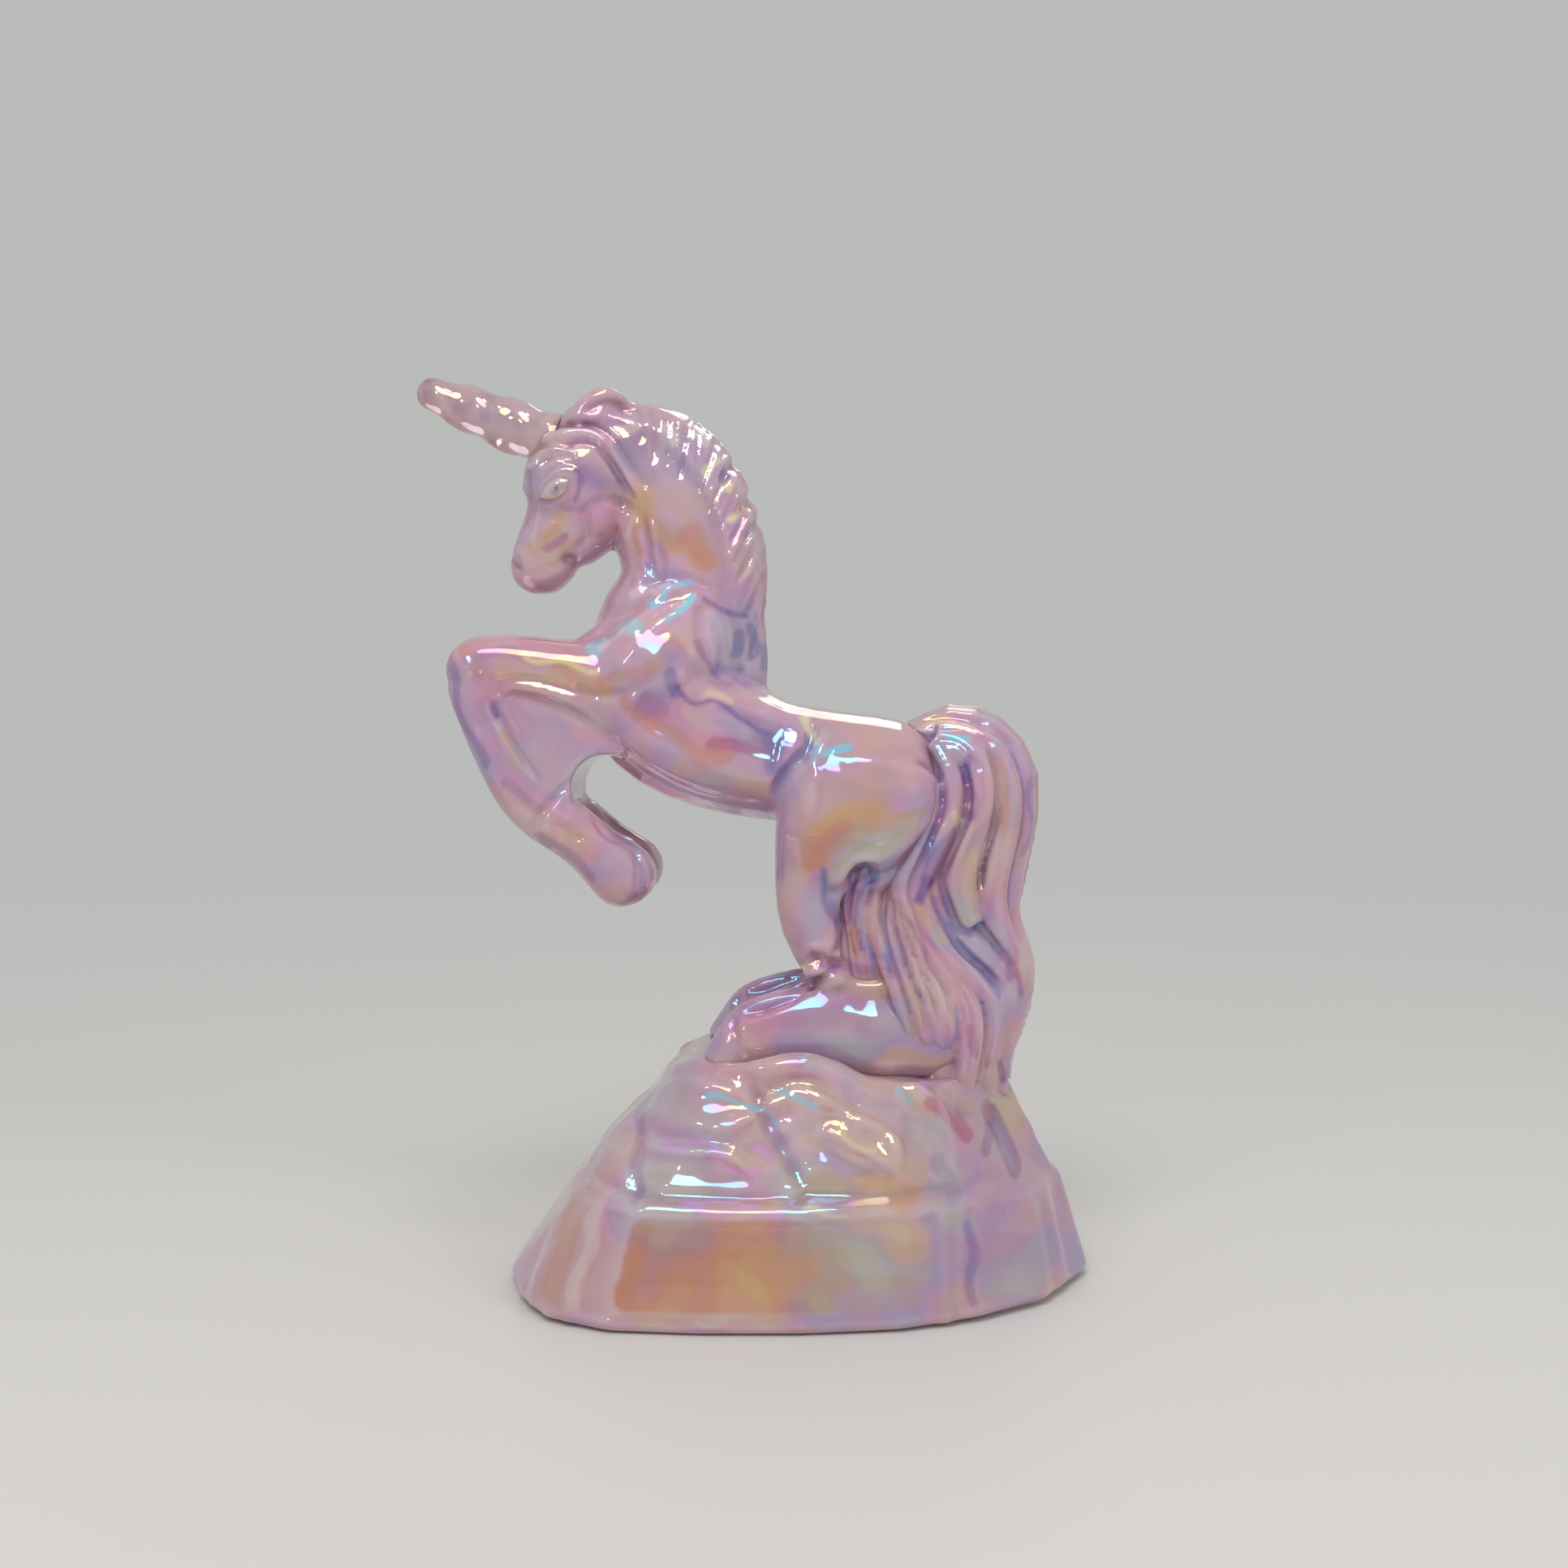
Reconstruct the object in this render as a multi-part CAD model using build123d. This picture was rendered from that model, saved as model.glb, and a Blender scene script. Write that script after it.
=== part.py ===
"""Rearing unicorn figurine in pressed glass, standing on a faceted rock base.

The unicorn faces -X, +Z is up, and its left side faces -Y. The origin is the middle of the base's underside.
Each body form is a loft of oval rings along a line of stations. A station's place is a share of the figure's
height, and its thickness and width are shares of the form's own sizes. Forms that branch are cut by the
larger form they grow from, so neighbours meet face to face and nothing overlaps.
"""

import math
import os

from build123d import *

# Figure, in millimetres
FIGURE_HEIGHT = 100.0  # from the bed in the rock to the tip of the horn
FIGURE_SINK = 5.5  # how far the hind legs are bedded below the top of the rock

# Base
BASE_LENGTH = 81.6
BASE_WIDTH = 51.0
FOOT_BEVEL = 1.4  # ground bevel round the underside
PLINTH_HEIGHT = 15.0  # table to the ledge
LEDGE_WIDTH = 0.9
CRAG_HEIGHT = 22.0  # table to where the rock slopes in
ROCK_HEIGHT = 32.5  # table to the top of the rock at its chest end
ROCK_FALL = 3.5  # how much lower the top of the rock is at its tail end
FOLD_WIDTH = 3.2  # from the middle of a fold in the rock to its edge
FOLD_DEPTH = 1.7  # how far the deepest fold is pressed in

# Trunk, neck and head: thickness is measured in the side view, width across the figure
TRUNK_DEPTH = 21.0
TRUNK_WIDTH = 25.0
NECK_DEPTH = 23.0
NECK_WIDTH = 16.0
HEAD_DEPTH = 16.6
HEAD_WIDTH = 13.5
EYE_LENGTH = 4.2
EYE_HEIGHT = 2.6
EYE_BULGE = 1.6
EAR_DEPTH = 4.2
EAR_WIDTH = 3.0
EAR_STANCE = 7.4
FORELOCK_DEPTH = 5.0
FORELOCK_WIDTH = 7.5

# Horn
HORN_LENGTH = 20.6
HORN_ROOT_WIDTH = 8.2
HORN_TILT = 21.5  # degrees above level
HORN_TURNS = 1.5
HORN_RIDGES = 2
HORN_GROOVE_SHARE = 0.13

# Legs. A stance is the distance between the middles of a pair
SHOULDER_STANCE = 15.0
SHOULDER_DEPTH = 15.0
SHOULDER_WIDTH = 11.0
FORE_STANCE = 12.6
FOREARM_DEPTH = 13.0
FOREARM_WIDTH = 9.0
FORE_CANNON_DEPTH = 9.6
FORE_CANNON_WIDTH = 9.0
LEG_WEB_THICKNESS = 18.0
HIND_STANCE = 16.0
THIGH_DEPTH = 23.0
THIGH_WIDTH = 12.0
HIND_CANNON_DEPTH = 13.0
HIND_CANNON_WIDTH = 9.8

# Mane and tail
MANE_DEPTH = 10.6
MANE_WIDTH = 13.6
MANE_LOCKS = 8
TAIL_DEPTH = 19.2
TAIL_WIDTH = 18.5
TAIL_LOCKS = 10
INNER_LOCK_DEPTH = 15.0
INNER_LOCK_WIDTH = 13.0
INNER_LOCKS = 6
LOCK_GROOVE_SHARE = 0.14

# Fineness of the rings
BODY_SIDES = 20
LIMB_SIDES = 12
SMALL_SIDES = 10
SIDES_PER_LOCK = 3
RINGS_PER_SPAN = 2
ROCK_STEPS = 3

BED_HEIGHT = ROCK_HEIGHT - FIGURE_SINK

# Stations: along, up, thickness and width shares, and the share of its stance where a form leaves the middle
TRUNK_SHARES = [
    (0.205, 0.425, 0.19, 0.20),
    (0.185, 0.428, 0.52, 0.56),
    (0.130, 0.433, 0.79, 0.92),
    (0.050, 0.446, 0.78, 0.98),
    (-0.035, 0.458, 0.81, 0.93),
    (-0.105, 0.482, 0.93, 1.00),
    (-0.170, 0.516, 1.00, 1.00),
    (-0.225, 0.555, 0.90, 0.88),
    (-0.265, 0.585, 0.57, 0.64),
    (-0.285, 0.600, 0.24, 0.32),
]
FLANK_SHARES = (0.005, 0.455)  # where the hindquarters meet the barrel
GIRTH_SHARES = (-0.135, 0.498)  # where the barrel meets the chest
SPINE_SLOPE_SHARES = (-1.0, 0.30)  # the direction of the spine at both

NECK_SHARES = [
    (-0.165, 0.540, 0.74, 0.90),
    (-0.178, 0.640, 1.00, 1.00),
    (-0.166, 0.715, 0.74, 0.91),
    (-0.175, 0.782, 0.76, 0.81),
    (-0.203, 0.850, 0.59, 0.75),
    (-0.245, 0.895, 0.48, 0.72),
    (-0.280, 0.920, 0.30, 0.56),
]
HEAD_SHARES = [
    (-0.256, 0.914, 0.44, 0.59),
    (-0.284, 0.880, 0.92, 0.93),
    (-0.308, 0.842, 1.00, 1.00),
    (-0.320, 0.796, 0.86, 0.88),
    (-0.352, 0.758, 0.58, 0.67),
    (-0.363, 0.726, 0.53, 0.62),
    (-0.364, 0.706, 0.40, 0.47),
    (-0.364, 0.695, 0.18, 0.22),
]
MUZZLE_SHARES = (-0.345, 0.770)  # where the muzzle begins
MUZZLE_SLOPE_SHARES = (-0.45, -0.90)
EYE_SHARES = (-0.338, 0.832)
EYE_SIDE_SHARE = 0.80  # of half the head's width
EAR_SHARES = [
    (-0.310, 0.920, 0.80, 0.87, 1.0),
    (-0.290, 0.946, 1.00, 1.00, 1.0),
    (-0.264, 0.960, 0.71, 0.80, 1.1),
    (-0.236, 0.962, 0.24, 0.33, 1.1),
]
FORELOCK_SHARES = [
    (-0.245, 0.935, 0.90, 0.85),
    (-0.285, 0.938, 1.00, 1.00),
    (-0.325, 0.932, 0.72, 0.85),
    (-0.358, 0.924, 0.32, 0.53),
]
HORN_ROOT_SHARES = (-0.338, 0.913)
HORN_TAPER_SHARES = [
    (0.0, 1.0),
    (0.25, 0.96),
    (0.48, 0.87),
    (0.69, 0.75),
    (0.86, 0.62),
    (0.955, 0.45),
    (1.0, 0.18),
]

SHOULDER_SHARES = [
    (-0.130, 0.690, 0.24, 0.27, 0.50),
    (-0.160, 0.640, 0.80, 0.75, 0.80),
    (-0.195, 0.590, 1.00, 1.00, 0.95),
    (-0.235, 0.540, 0.80, 0.90, 1.0),
    (-0.258, 0.505, 0.30, 0.40, 1.0),
]
FOREARM_SHARES = [
    (-0.180, 0.535, 0.85, 0.89, 0.9),
    (-0.260, 0.560, 0.97, 1.00, 1.0),
    (-0.340, 0.579, 0.74, 0.96, 1.0),
    (-0.410, 0.589, 0.68, 0.93, 1.0),
    (-0.450, 0.584, 0.65, 0.91, 1.0),
    (-0.470, 0.577, 0.43, 0.67, 1.0),
    (-0.481, 0.572, 0.18, 0.29, 1.0),
]
FORE_CANNON_SHARES = [
    (-0.452, 0.600, 0.52, 0.67, 1.0),
    (-0.446, 0.566, 0.81, 0.89, 1.0),
    (-0.434, 0.522, 0.75, 0.84, 1.0),
    (-0.410, 0.463, 0.73, 0.80, 1.0),
    (-0.384, 0.414, 0.73, 0.78, 1.0),
    (-0.352, 0.386, 0.80, 0.78, 1.0),
    (-0.320, 0.366, 0.80, 0.78, 1.0),
    (-0.291, 0.342, 0.78, 0.80, 1.0),
    (-0.265, 0.319, 0.87, 0.90, 1.0),
    (-0.242, 0.300, 0.95, 1.00, 1.0),
    (-0.224, 0.283, 0.74, 0.84, 1.0),
    (-0.215, 0.273, 0.28, 0.36, 1.0),
]
FORE_HOOF_SHARES = (-0.286, 0.338)  # the coronet, where the hoof begins
FORE_HOOF_SLOPE_SHARES = (0.74, -0.67)
LEG_WEB_SHARES = [(-0.44, 0.56), (-0.24, 0.53), (-0.245, 0.465)]
LEG_WEB_ARC_SHARES = [(-0.300, 0.456), (-0.310, 0.400)]
LEG_WEB_HEEL_SHARES = [(-0.335, 0.365), (-0.37, 0.39), (-0.41, 0.47)]

THIGH_SHARES = [
    (0.098, 0.478, 0.30, 0.30, 0.75),
    (0.095, 0.448, 0.80, 0.86, 1.0),
    (0.085, 0.410, 1.00, 1.00, 0.97),
    (0.055, 0.345, 0.86, 1.00, 1.0),
    (0.022, 0.280, 0.52, 0.82, 1.0),
    (0.017, 0.230, 0.36, 0.68, 1.0),
    (0.032, 0.188, 0.28, 0.57, 1.0),
    (0.048, 0.155, 0.22, 0.50, 1.0),
]
HIND_CANNON_SHARES = [
    (0.220, 0.065, 0.23, 0.36, 1.0),
    (0.185, 0.072, 0.69, 0.84, 1.0),
    (0.105, 0.082, 1.00, 1.00, 1.0),
    (0.030, 0.090, 0.98, 0.94, 1.0),
    (-0.030, 0.090, 0.82, 0.86, 1.0),
    (-0.070, 0.080, 0.70, 0.82, 1.0),
    (-0.090, 0.068, 0.49, 0.78, 1.0),
    (-0.101, 0.048, 0.51, 0.86, 1.0),
    (-0.117, 0.016, 0.56, 0.92, 1.0),
]
HIND_HOOF_SHARES = (-0.091, 0.066)
HIND_HOOF_SLOPE_SHARES = (-0.50, -0.86)

MANE_SHARES = [
    (-0.270, 0.940, 0.38, 0.44),
    (-0.225, 0.924, 0.75, 0.81),
    (-0.176, 0.896, 0.94, 0.88),
    (-0.136, 0.850, 1.00, 0.91),
    (-0.109, 0.790, 0.99, 0.96),
    (-0.098, 0.720, 1.00, 1.00),
    (-0.089, 0.655, 0.74, 0.81),
    (-0.074, 0.600, 0.55, 0.60),
    (-0.070, 0.545, 0.40, 0.40),
]
TAIL_SHARES = [
    (0.150, 0.490, 0.22, 0.38),
    (0.205, 0.499, 0.41, 0.49),
    (0.243, 0.478, 0.62, 0.65),
    (0.270, 0.430, 0.72, 0.76),
    (0.262, 0.355, 0.74, 0.83),
    (0.240, 0.282, 0.81, 0.89),
    (0.232, 0.220, 0.84, 0.94),
    (0.242, 0.160, 1.00, 1.00),
    (0.252, 0.100, 0.80, 0.94),
    (0.252, 0.044, 0.56, 0.81),
    (0.250, -0.020, 0.50, 0.76),
]
INNER_LOCK_SHARES = [
    (0.108, 0.360, 0.80, 0.85),
    (0.102, 0.230, 0.95, 0.95),
    (0.102, 0.170, 1.00, 1.00),
    (0.110, 0.070, 1.00, 1.00),
]

# Outlines of the base, front half, from the chest end to the tail end: shares of half its length and width
GROUND_SHARES = [
    (-1.00, -0.16),
    (-0.93, -0.53),
    (-0.82, -0.81),
    (-0.62, -0.96),
    (-0.33, -1.00),
    (0.00, -1.00),
    (0.31, -0.95),
    (0.57, -0.81),
    (0.81, -0.57),
    (1.00, -0.10),
]
LEDGE_SHARES = [
    (-0.77, -0.12),
    (-0.735, -0.46),
    (-0.68, -0.73),
    (-0.54, -0.88),
    (-0.28, -0.92),
    (0.03, -0.92),
    (0.33, -0.88),
    (0.55, -0.75),
    (0.76, -0.52),
    (0.90, -0.09),
]
CRAG_SHARES = [
    (-0.625, -0.12),
    (-0.59, -0.43),
    (-0.49, -0.63),
    (-0.34, -0.75),
    (-0.14, -0.77),
    (0.08, -0.75),
    (0.30, -0.73),
    (0.47, -0.61),
    (0.64, -0.43),
    (0.79, -0.08),
]
TOP_SHARES = [
    (-0.35, -0.12),
    (-0.335, -0.36),
    (-0.26, -0.52),
    (-0.10, -0.58),
    (0.03, -0.59),
    (0.16, -0.58),
    (0.30, -0.57),
    (0.45, -0.49),
    (0.58, -0.37),
    (0.71, -0.08),
]
ROCK_LEVEL_SHARES = [0.14, 0.28, 0.42, 0.57, 0.71, 0.86]  # heights of the rings between the ledge and the top

# Folds in the sides of the rock: shares of half its length and of its height over the ledge, then how wide the
# fold is and how far it is raised, as shares of the widest and the deepest
FOLD_SHARES = [
    ([(-0.165, 0.95), (-0.13, 0.69), (-0.085, 0.49), (-0.03, 0.31), (0.015, 0.16)], 0.90, -1.00),
    ([(-0.505, 0.88), (-0.535, 0.57), (-0.54, 0.26), (-0.525, 0.06)], 0.80, -0.60),
    ([(-0.44, 0.66), (-0.30, 0.71), (-0.21, 0.57)], 1.90, 0.75),
    ([(-0.46, 0.25), (-0.30, 0.26), (-0.17, 0.14)], 0.75, -0.50),
    ([(-0.07, 0.92), (0.04, 0.81), (0.15, 0.66), (0.275, 0.53), (0.32, 0.37)], 0.85, 0.70),
    ([(0.03, 0.94), (0.17, 0.80), (0.315, 0.63), (0.41, 0.34), (0.43, 0.11)], 0.80, -0.60),
    ([(0.36, 0.85), (0.455, 0.65), (0.50, 0.34)], 0.75, 0.60),
    ([(0.41, 0.92), (0.49, 0.74), (0.55, 0.55)], 0.75, -0.60),
    ([(0.60, 0.82), (0.64, 0.57), (0.725, 0.25)], 0.95, -0.80),
]


def at(along_share, up_share, side=0.0):
    """The point of the figure at these shares of its height, side millimetres off the middle."""
    return Vector(along_share * FIGURE_HEIGHT, side, BED_HEIGHT + up_share * FIGURE_HEIGHT)


def smoothed(rows):
    """The rows with rings added between them, on a smooth curve through all of them."""
    finer = []
    for i in range(len(rows) - 1):
        before, here = rows[max(i - 1, 0)], rows[i]
        there, after = rows[i + 1], rows[min(i + 2, len(rows) - 1)]
        for step in range(RINGS_PER_SPAN):
            t = step / RINGS_PER_SPAN
            finer.append(
                tuple(
                    q + t * ((r - p) + t * ((2 * p - 5 * q + 4 * r - s) + t * (3 * q - p - 3 * r + s))) / 2
                    for p, q, r, s in zip(before, here, there, after)
                )
            )
    return finer + [rows[-1]]


def solid_from(rings):
    """The closed solid whose skin joins these rings of points, with a flat face at each end.

    The two halves of a ring are joined in mirror image, so that a form in the middle is even on both sides.
    """
    count = len(rings[0])
    loops = [list(reversed(rings[0])), rings[-1]]
    for low, high in zip(rings, rings[1:]):
        for k in range(count):
            n = (k + 1) % count
            if k < count / 2:
                loops.append([low[k], low[n], high[n]])
                loops.append([low[k], high[n], high[k]])
            else:
                loops.append([low[k], low[n], high[k]])
                loops.append([low[n], high[n], high[k]])
    return Solid(Shell([Face(Wire.make_polygon(loop)) for loop in loops]))


def oval_ring(middle, along, depth, width, sides, ridges=0, groove=0.0, turn=0.0):
    """Points on an oval round middle, square to along. Ridges are rounded, and turn swings them round."""
    level = Vector(0, 0, 1) if abs(along.Y) > abs(along.X) + abs(along.Z) else Vector(0, 1, 0)
    across = level.cross(along).normalized()
    sideways = along.cross(across)
    points = []
    for k in range(sides):
        angle = 2 * math.pi * k / sides
        reach = 1 - groove * (1 - math.cos(ridges * (angle - turn))) / 2
        points.append(
            middle
            + across * (reach * depth / 2 * math.cos(angle))
            + sideways * (reach * width / 2 * math.sin(angle))
        )
    return points


def form(shares, depth, width, sides, stance=0.0, ridges=0, groove=0.0):
    """The loft of oval rings through the stations. With a stance it is the left one of a pair."""
    places = []
    for row in shares:
        side = -row[4] * stance / 2 if stance else 0.0
        places.append((*at(row[0], row[1], side), row[2] * depth, row[3] * width))
    places = smoothed(places)
    middles = [Vector(*place[:3]) for place in places]
    rings = []
    for i, place in enumerate(places):
        along = (middles[min(i + 1, len(places) - 1)] - middles[max(i - 1, 0)]).normalized()
        rings.append(oval_ring(middles[i], along, place[3], place[4], sides, ridges, groove))
    return solid_from(rings)


def cut(solid, *tools):
    """What is left of the solid outside the tools: its largest piece."""
    for tool in tools:
        solid = max((solid - tool).solids(), key=lambda piece: piece.volume)
    return solid


def halves(solid, shares, slope_shares):
    """The solid cut square to a slope at a point of the figure: the pieces behind and ahead of the cut."""
    plane = Plane(at(*shares), z_dir=(slope_shares[0], 0, slope_shares[1]))
    return split(solid, plane, Keep.BOTTOM).solid(), split(solid, plane, Keep.TOP).solid()


def right(solid):
    """The mirror image of a left piece."""
    return mirror(solid, Plane.XZ)


def outline(shares, height, inset=0.0, fall=0.0):
    """A ring round the base at a height, from the shares of its front half. It falls towards the tail end."""
    length, width = BASE_LENGTH / 2 - inset, BASE_WIDTH / 2 - inset
    first, last = shares[0][0], shares[-1][0]
    front = [Vector(x * length, y * width, height - fall * (x - first) / (last - first)) for x, y in shares]
    return front + [Vector(p.X, -p.Y, p.Z) for p in reversed(front)]


def make_plinth():
    """The faceted foot of the base, bevelled where its underside is ground flat."""
    rings = [
        outline(GROUND_SHARES, 0.0, FOOT_BEVEL),
        outline(GROUND_SHARES, FOOT_BEVEL),
        outline(LEDGE_SHARES, PLINTH_HEIGHT),
    ]
    return solid_from(rings)


def stepped(ring):
    """The ring with points added along each of its edges."""
    finer = []
    for k, point in enumerate(ring):
        beyond = ring[(k + 1) % len(ring)]
        finer += [point + (beyond - point) * (step / ROCK_STEPS) for step in range(ROCK_STEPS)]
    return finer


def fold_rise(place):
    """How far the folds raise the rock at a place along and up. It is below zero where they press it in."""
    rise = 0.0
    for points, width_share, rise_share in FOLD_SHARES:
        height = ROCK_HEIGHT - PLINTH_HEIGHT
        path = [Vector(x * BASE_LENGTH / 2, 0, PLINTH_HEIGHT + z * height) for x, z in points]
        gaps = []
        for start, end in zip(path, path[1:]):
            run = end - start
            share = min(max((place - start).dot(run) / run.dot(run), 0), 1)
            gaps.append((place - start - run * share).length)
        near = max(1 - (min(gaps) / (width_share * FOLD_WIDTH)) ** 2, 0)
        rise += rise_share * FOLD_DEPTH * near**2
    return rise


def make_rock():
    """The rock that the hind legs lie on, stepped in from the ledge, with folds pressed into its sides."""
    ledge = stepped(outline(LEDGE_SHARES, PLINTH_HEIGHT, LEDGE_WIDTH))
    waist = stepped(outline(CRAG_SHARES, CRAG_HEIGHT))
    top = stepped(outline(TOP_SHARES, ROCK_HEIGHT, 0.0, ROCK_FALL))
    rings = [ledge]
    for level in ROCK_LEVEL_SHARES:
        ring = []
        for low, middle, high in zip(ledge, waist, top):
            point = low * (1 - level) * (1 - 2 * level)
            point += middle * 4 * level * (1 - level)
            point += high * level * (2 * level - 1)
            outward = Vector(point.X / BASE_LENGTH, point.Y / BASE_WIDTH, 0).normalized()
            ring.append(point + outward * fold_rise(Vector(point.X, 0, point.Z)))
        rings.append(ring)
    return solid_from(rings + [top])


def make_horn():
    """The twisted horn: rings that shrink and turn along a straight axis."""
    tilt = math.radians(HORN_TILT)
    along = Vector(-math.cos(tilt), 0, math.sin(tilt))
    rings = []
    for reach, taper in smoothed(HORN_TAPER_SHARES):
        middle = at(*HORN_ROOT_SHARES) + along * (reach * HORN_LENGTH)
        turn = reach * HORN_TURNS * 2 * math.pi
        width = taper * HORN_ROOT_WIDTH
        rings.append(oval_ring(middle, along, width, width, LIMB_SIDES, HORN_RIDGES, HORN_GROOVE_SHARE, turn))
    return solid_from(rings)


def make_eye():
    """The left eyeball, an oval that swells out of the side of the head."""
    middle = at(*EYE_SHARES, -EYE_SIDE_SHARE * HEAD_WIDTH / 2)
    spans = 2 * RINGS_PER_SPAN + 2
    rings = []
    for k in range(1, spans):
        angle = math.pi * k / spans
        place = middle - Vector(0, EYE_BULGE * math.cos(angle), 0)
        length, height = EYE_LENGTH * math.sin(angle), EYE_HEIGHT * math.sin(angle)
        rings.append(oval_ring(place, Vector(0, -1, 0), length, height, SMALL_SIDES))
    return solid_from(list(reversed(rings)))


def make_leg_web():
    """The plate of glass that fills the bend of the forelegs, with a round edge towards the belly."""
    start = [at(*share) for share in LEG_WEB_SHARES]
    through, end = [at(*share) for share in LEG_WEB_ARC_SHARES]
    heel = [at(*share) for share in LEG_WEB_HEEL_SHARES]
    edges = [Polyline(*start), ThreePointArc(start[-1], through, end), Polyline(end, *heel, start[0])]
    return extrude(make_face(edges), LEG_WEB_THICKNESS / 2, both=True).solid()


def build():
    """Every piece of the figurine by name."""
    plinth, rock = make_plinth(), make_rock()

    trunk = form(TRUNK_SHARES, TRUNK_DEPTH, TRUNK_WIDTH, BODY_SIDES)
    hindquarters, front = halves(trunk, FLANK_SHARES, SPINE_SLOPE_SHARES)
    barrel, chest = halves(front, GIRTH_SHARES, SPINE_SLOPE_SHARES)
    neck = cut(form(NECK_SHARES, NECK_DEPTH, NECK_WIDTH, BODY_SIDES), trunk)

    skull = cut(form(HEAD_SHARES, HEAD_DEPTH, HEAD_WIDTH, BODY_SIDES), neck)
    head, muzzle = halves(skull, MUZZLE_SHARES, MUZZLE_SLOPE_SHARES)
    horn = cut(make_horn(), skull, neck)
    ear = cut(form(EAR_SHARES, EAR_DEPTH, EAR_WIDTH, SMALL_SIDES, EAR_STANCE), skull, neck, horn)
    eye = cut(make_eye(), skull)
    forelock = form(FORELOCK_SHARES, FORELOCK_DEPTH, FORELOCK_WIDTH, LIMB_SIDES)
    forelock = cut(forelock, skull, neck, horn, ear, right(ear))

    shoulder = form(SHOULDER_SHARES, SHOULDER_DEPTH, SHOULDER_WIDTH, LIMB_SIDES, SHOULDER_STANCE)
    shoulder = cut(shoulder, trunk, neck)
    forearm = form(FOREARM_SHARES, FOREARM_DEPTH, FOREARM_WIDTH, LIMB_SIDES, FORE_STANCE)
    forearm = cut(forearm, trunk, neck, shoulder)
    foreleg = form(FORE_CANNON_SHARES, FORE_CANNON_DEPTH, FORE_CANNON_WIDTH, LIMB_SIDES, FORE_STANCE)
    fore_cannon, fore_hoof = halves(cut(foreleg, forearm), FORE_HOOF_SHARES, FORE_HOOF_SLOPE_SHARES)
    legs = [shoulder, right(shoulder), forearm, right(forearm), fore_cannon, right(fore_cannon)]
    leg_web = cut(make_leg_web(), trunk, *legs)

    thigh = cut(form(THIGH_SHARES, THIGH_DEPTH, THIGH_WIDTH, BODY_SIDES, HIND_STANCE), trunk)
    hind_leg = form(HIND_CANNON_SHARES, HIND_CANNON_DEPTH, HIND_CANNON_WIDTH, LIMB_SIDES, HIND_STANCE)
    hind_leg = cut(hind_leg, rock, thigh)
    hind_cannon, hind_hoof = halves(hind_leg, HIND_HOOF_SHARES, HIND_HOOF_SLOPE_SHARES)

    mane_sides = MANE_LOCKS * SIDES_PER_LOCK
    mane = form(MANE_SHARES, MANE_DEPTH, MANE_WIDTH, mane_sides, 0.0, MANE_LOCKS, LOCK_GROOVE_SHARE)
    mane = cut(mane, neck, trunk, skull, forelock, ear, right(ear), shoulder, right(shoulder))
    tail_sides = TAIL_LOCKS * SIDES_PER_LOCK
    tail = form(TAIL_SHARES, TAIL_DEPTH, TAIL_WIDTH, tail_sides, 0.0, TAIL_LOCKS, LOCK_GROOVE_SHARE)
    legs = [thigh, right(thigh), hind_leg, right(hind_leg)]
    tail = cut(tail, trunk, rock, *legs)
    inner_sides = INNER_LOCKS * SIDES_PER_LOCK
    inner_sizes = INNER_LOCK_DEPTH, INNER_LOCK_WIDTH, inner_sides
    inner_lock = form(INNER_LOCK_SHARES, *inner_sizes, 0.0, INNER_LOCKS, LOCK_GROOVE_SHARE)
    inner_lock = cut(inner_lock, trunk, tail, *legs)

    pieces = {
        "base_plinth": plinth,
        "rock_mound": rock,
        "hindquarters": hindquarters,
        "barrel": barrel,
        "chest": chest,
        "neck": neck,
        "head": head,
        "muzzle": muzzle,
        "horn": horn,
        "forelock": forelock,
        "mane": mane,
        "tail": tail,
        "inner_tail_lock": inner_lock,
        "foreleg_web": leg_web,
    }
    pairs = {
        "eye": eye,
        "ear": ear,
        "shoulder": shoulder,
        "forearm": forearm,
        "fore_cannon": fore_cannon,
        "fore_hoof": fore_hoof,
        "thigh": thigh,
        "hind_cannon": hind_cannon,
        "hind_hoof": hind_hoof,
    }
    for name, piece in pairs.items():
        pieces["left_" + name] = piece
        pieces["right_" + name] = right(piece)
    return pieces


os.makedirs("parts", exist_ok=True)
for name, piece in build().items():
    export_step(piece, f"parts/{name}.step")
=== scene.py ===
"""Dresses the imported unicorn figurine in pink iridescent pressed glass.

The body, the tail and the base are skins fused from the CAD solids and relaxed until they flow into each
other as pressed glass does. They are then worked with strokes, lines pressed into the skin or raised out
of it, and painted with washes of colour. Strokes, locks and washes are drawn in millimetres, along and up
the figure, and they are made alike on both sides.
"""

import math

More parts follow.
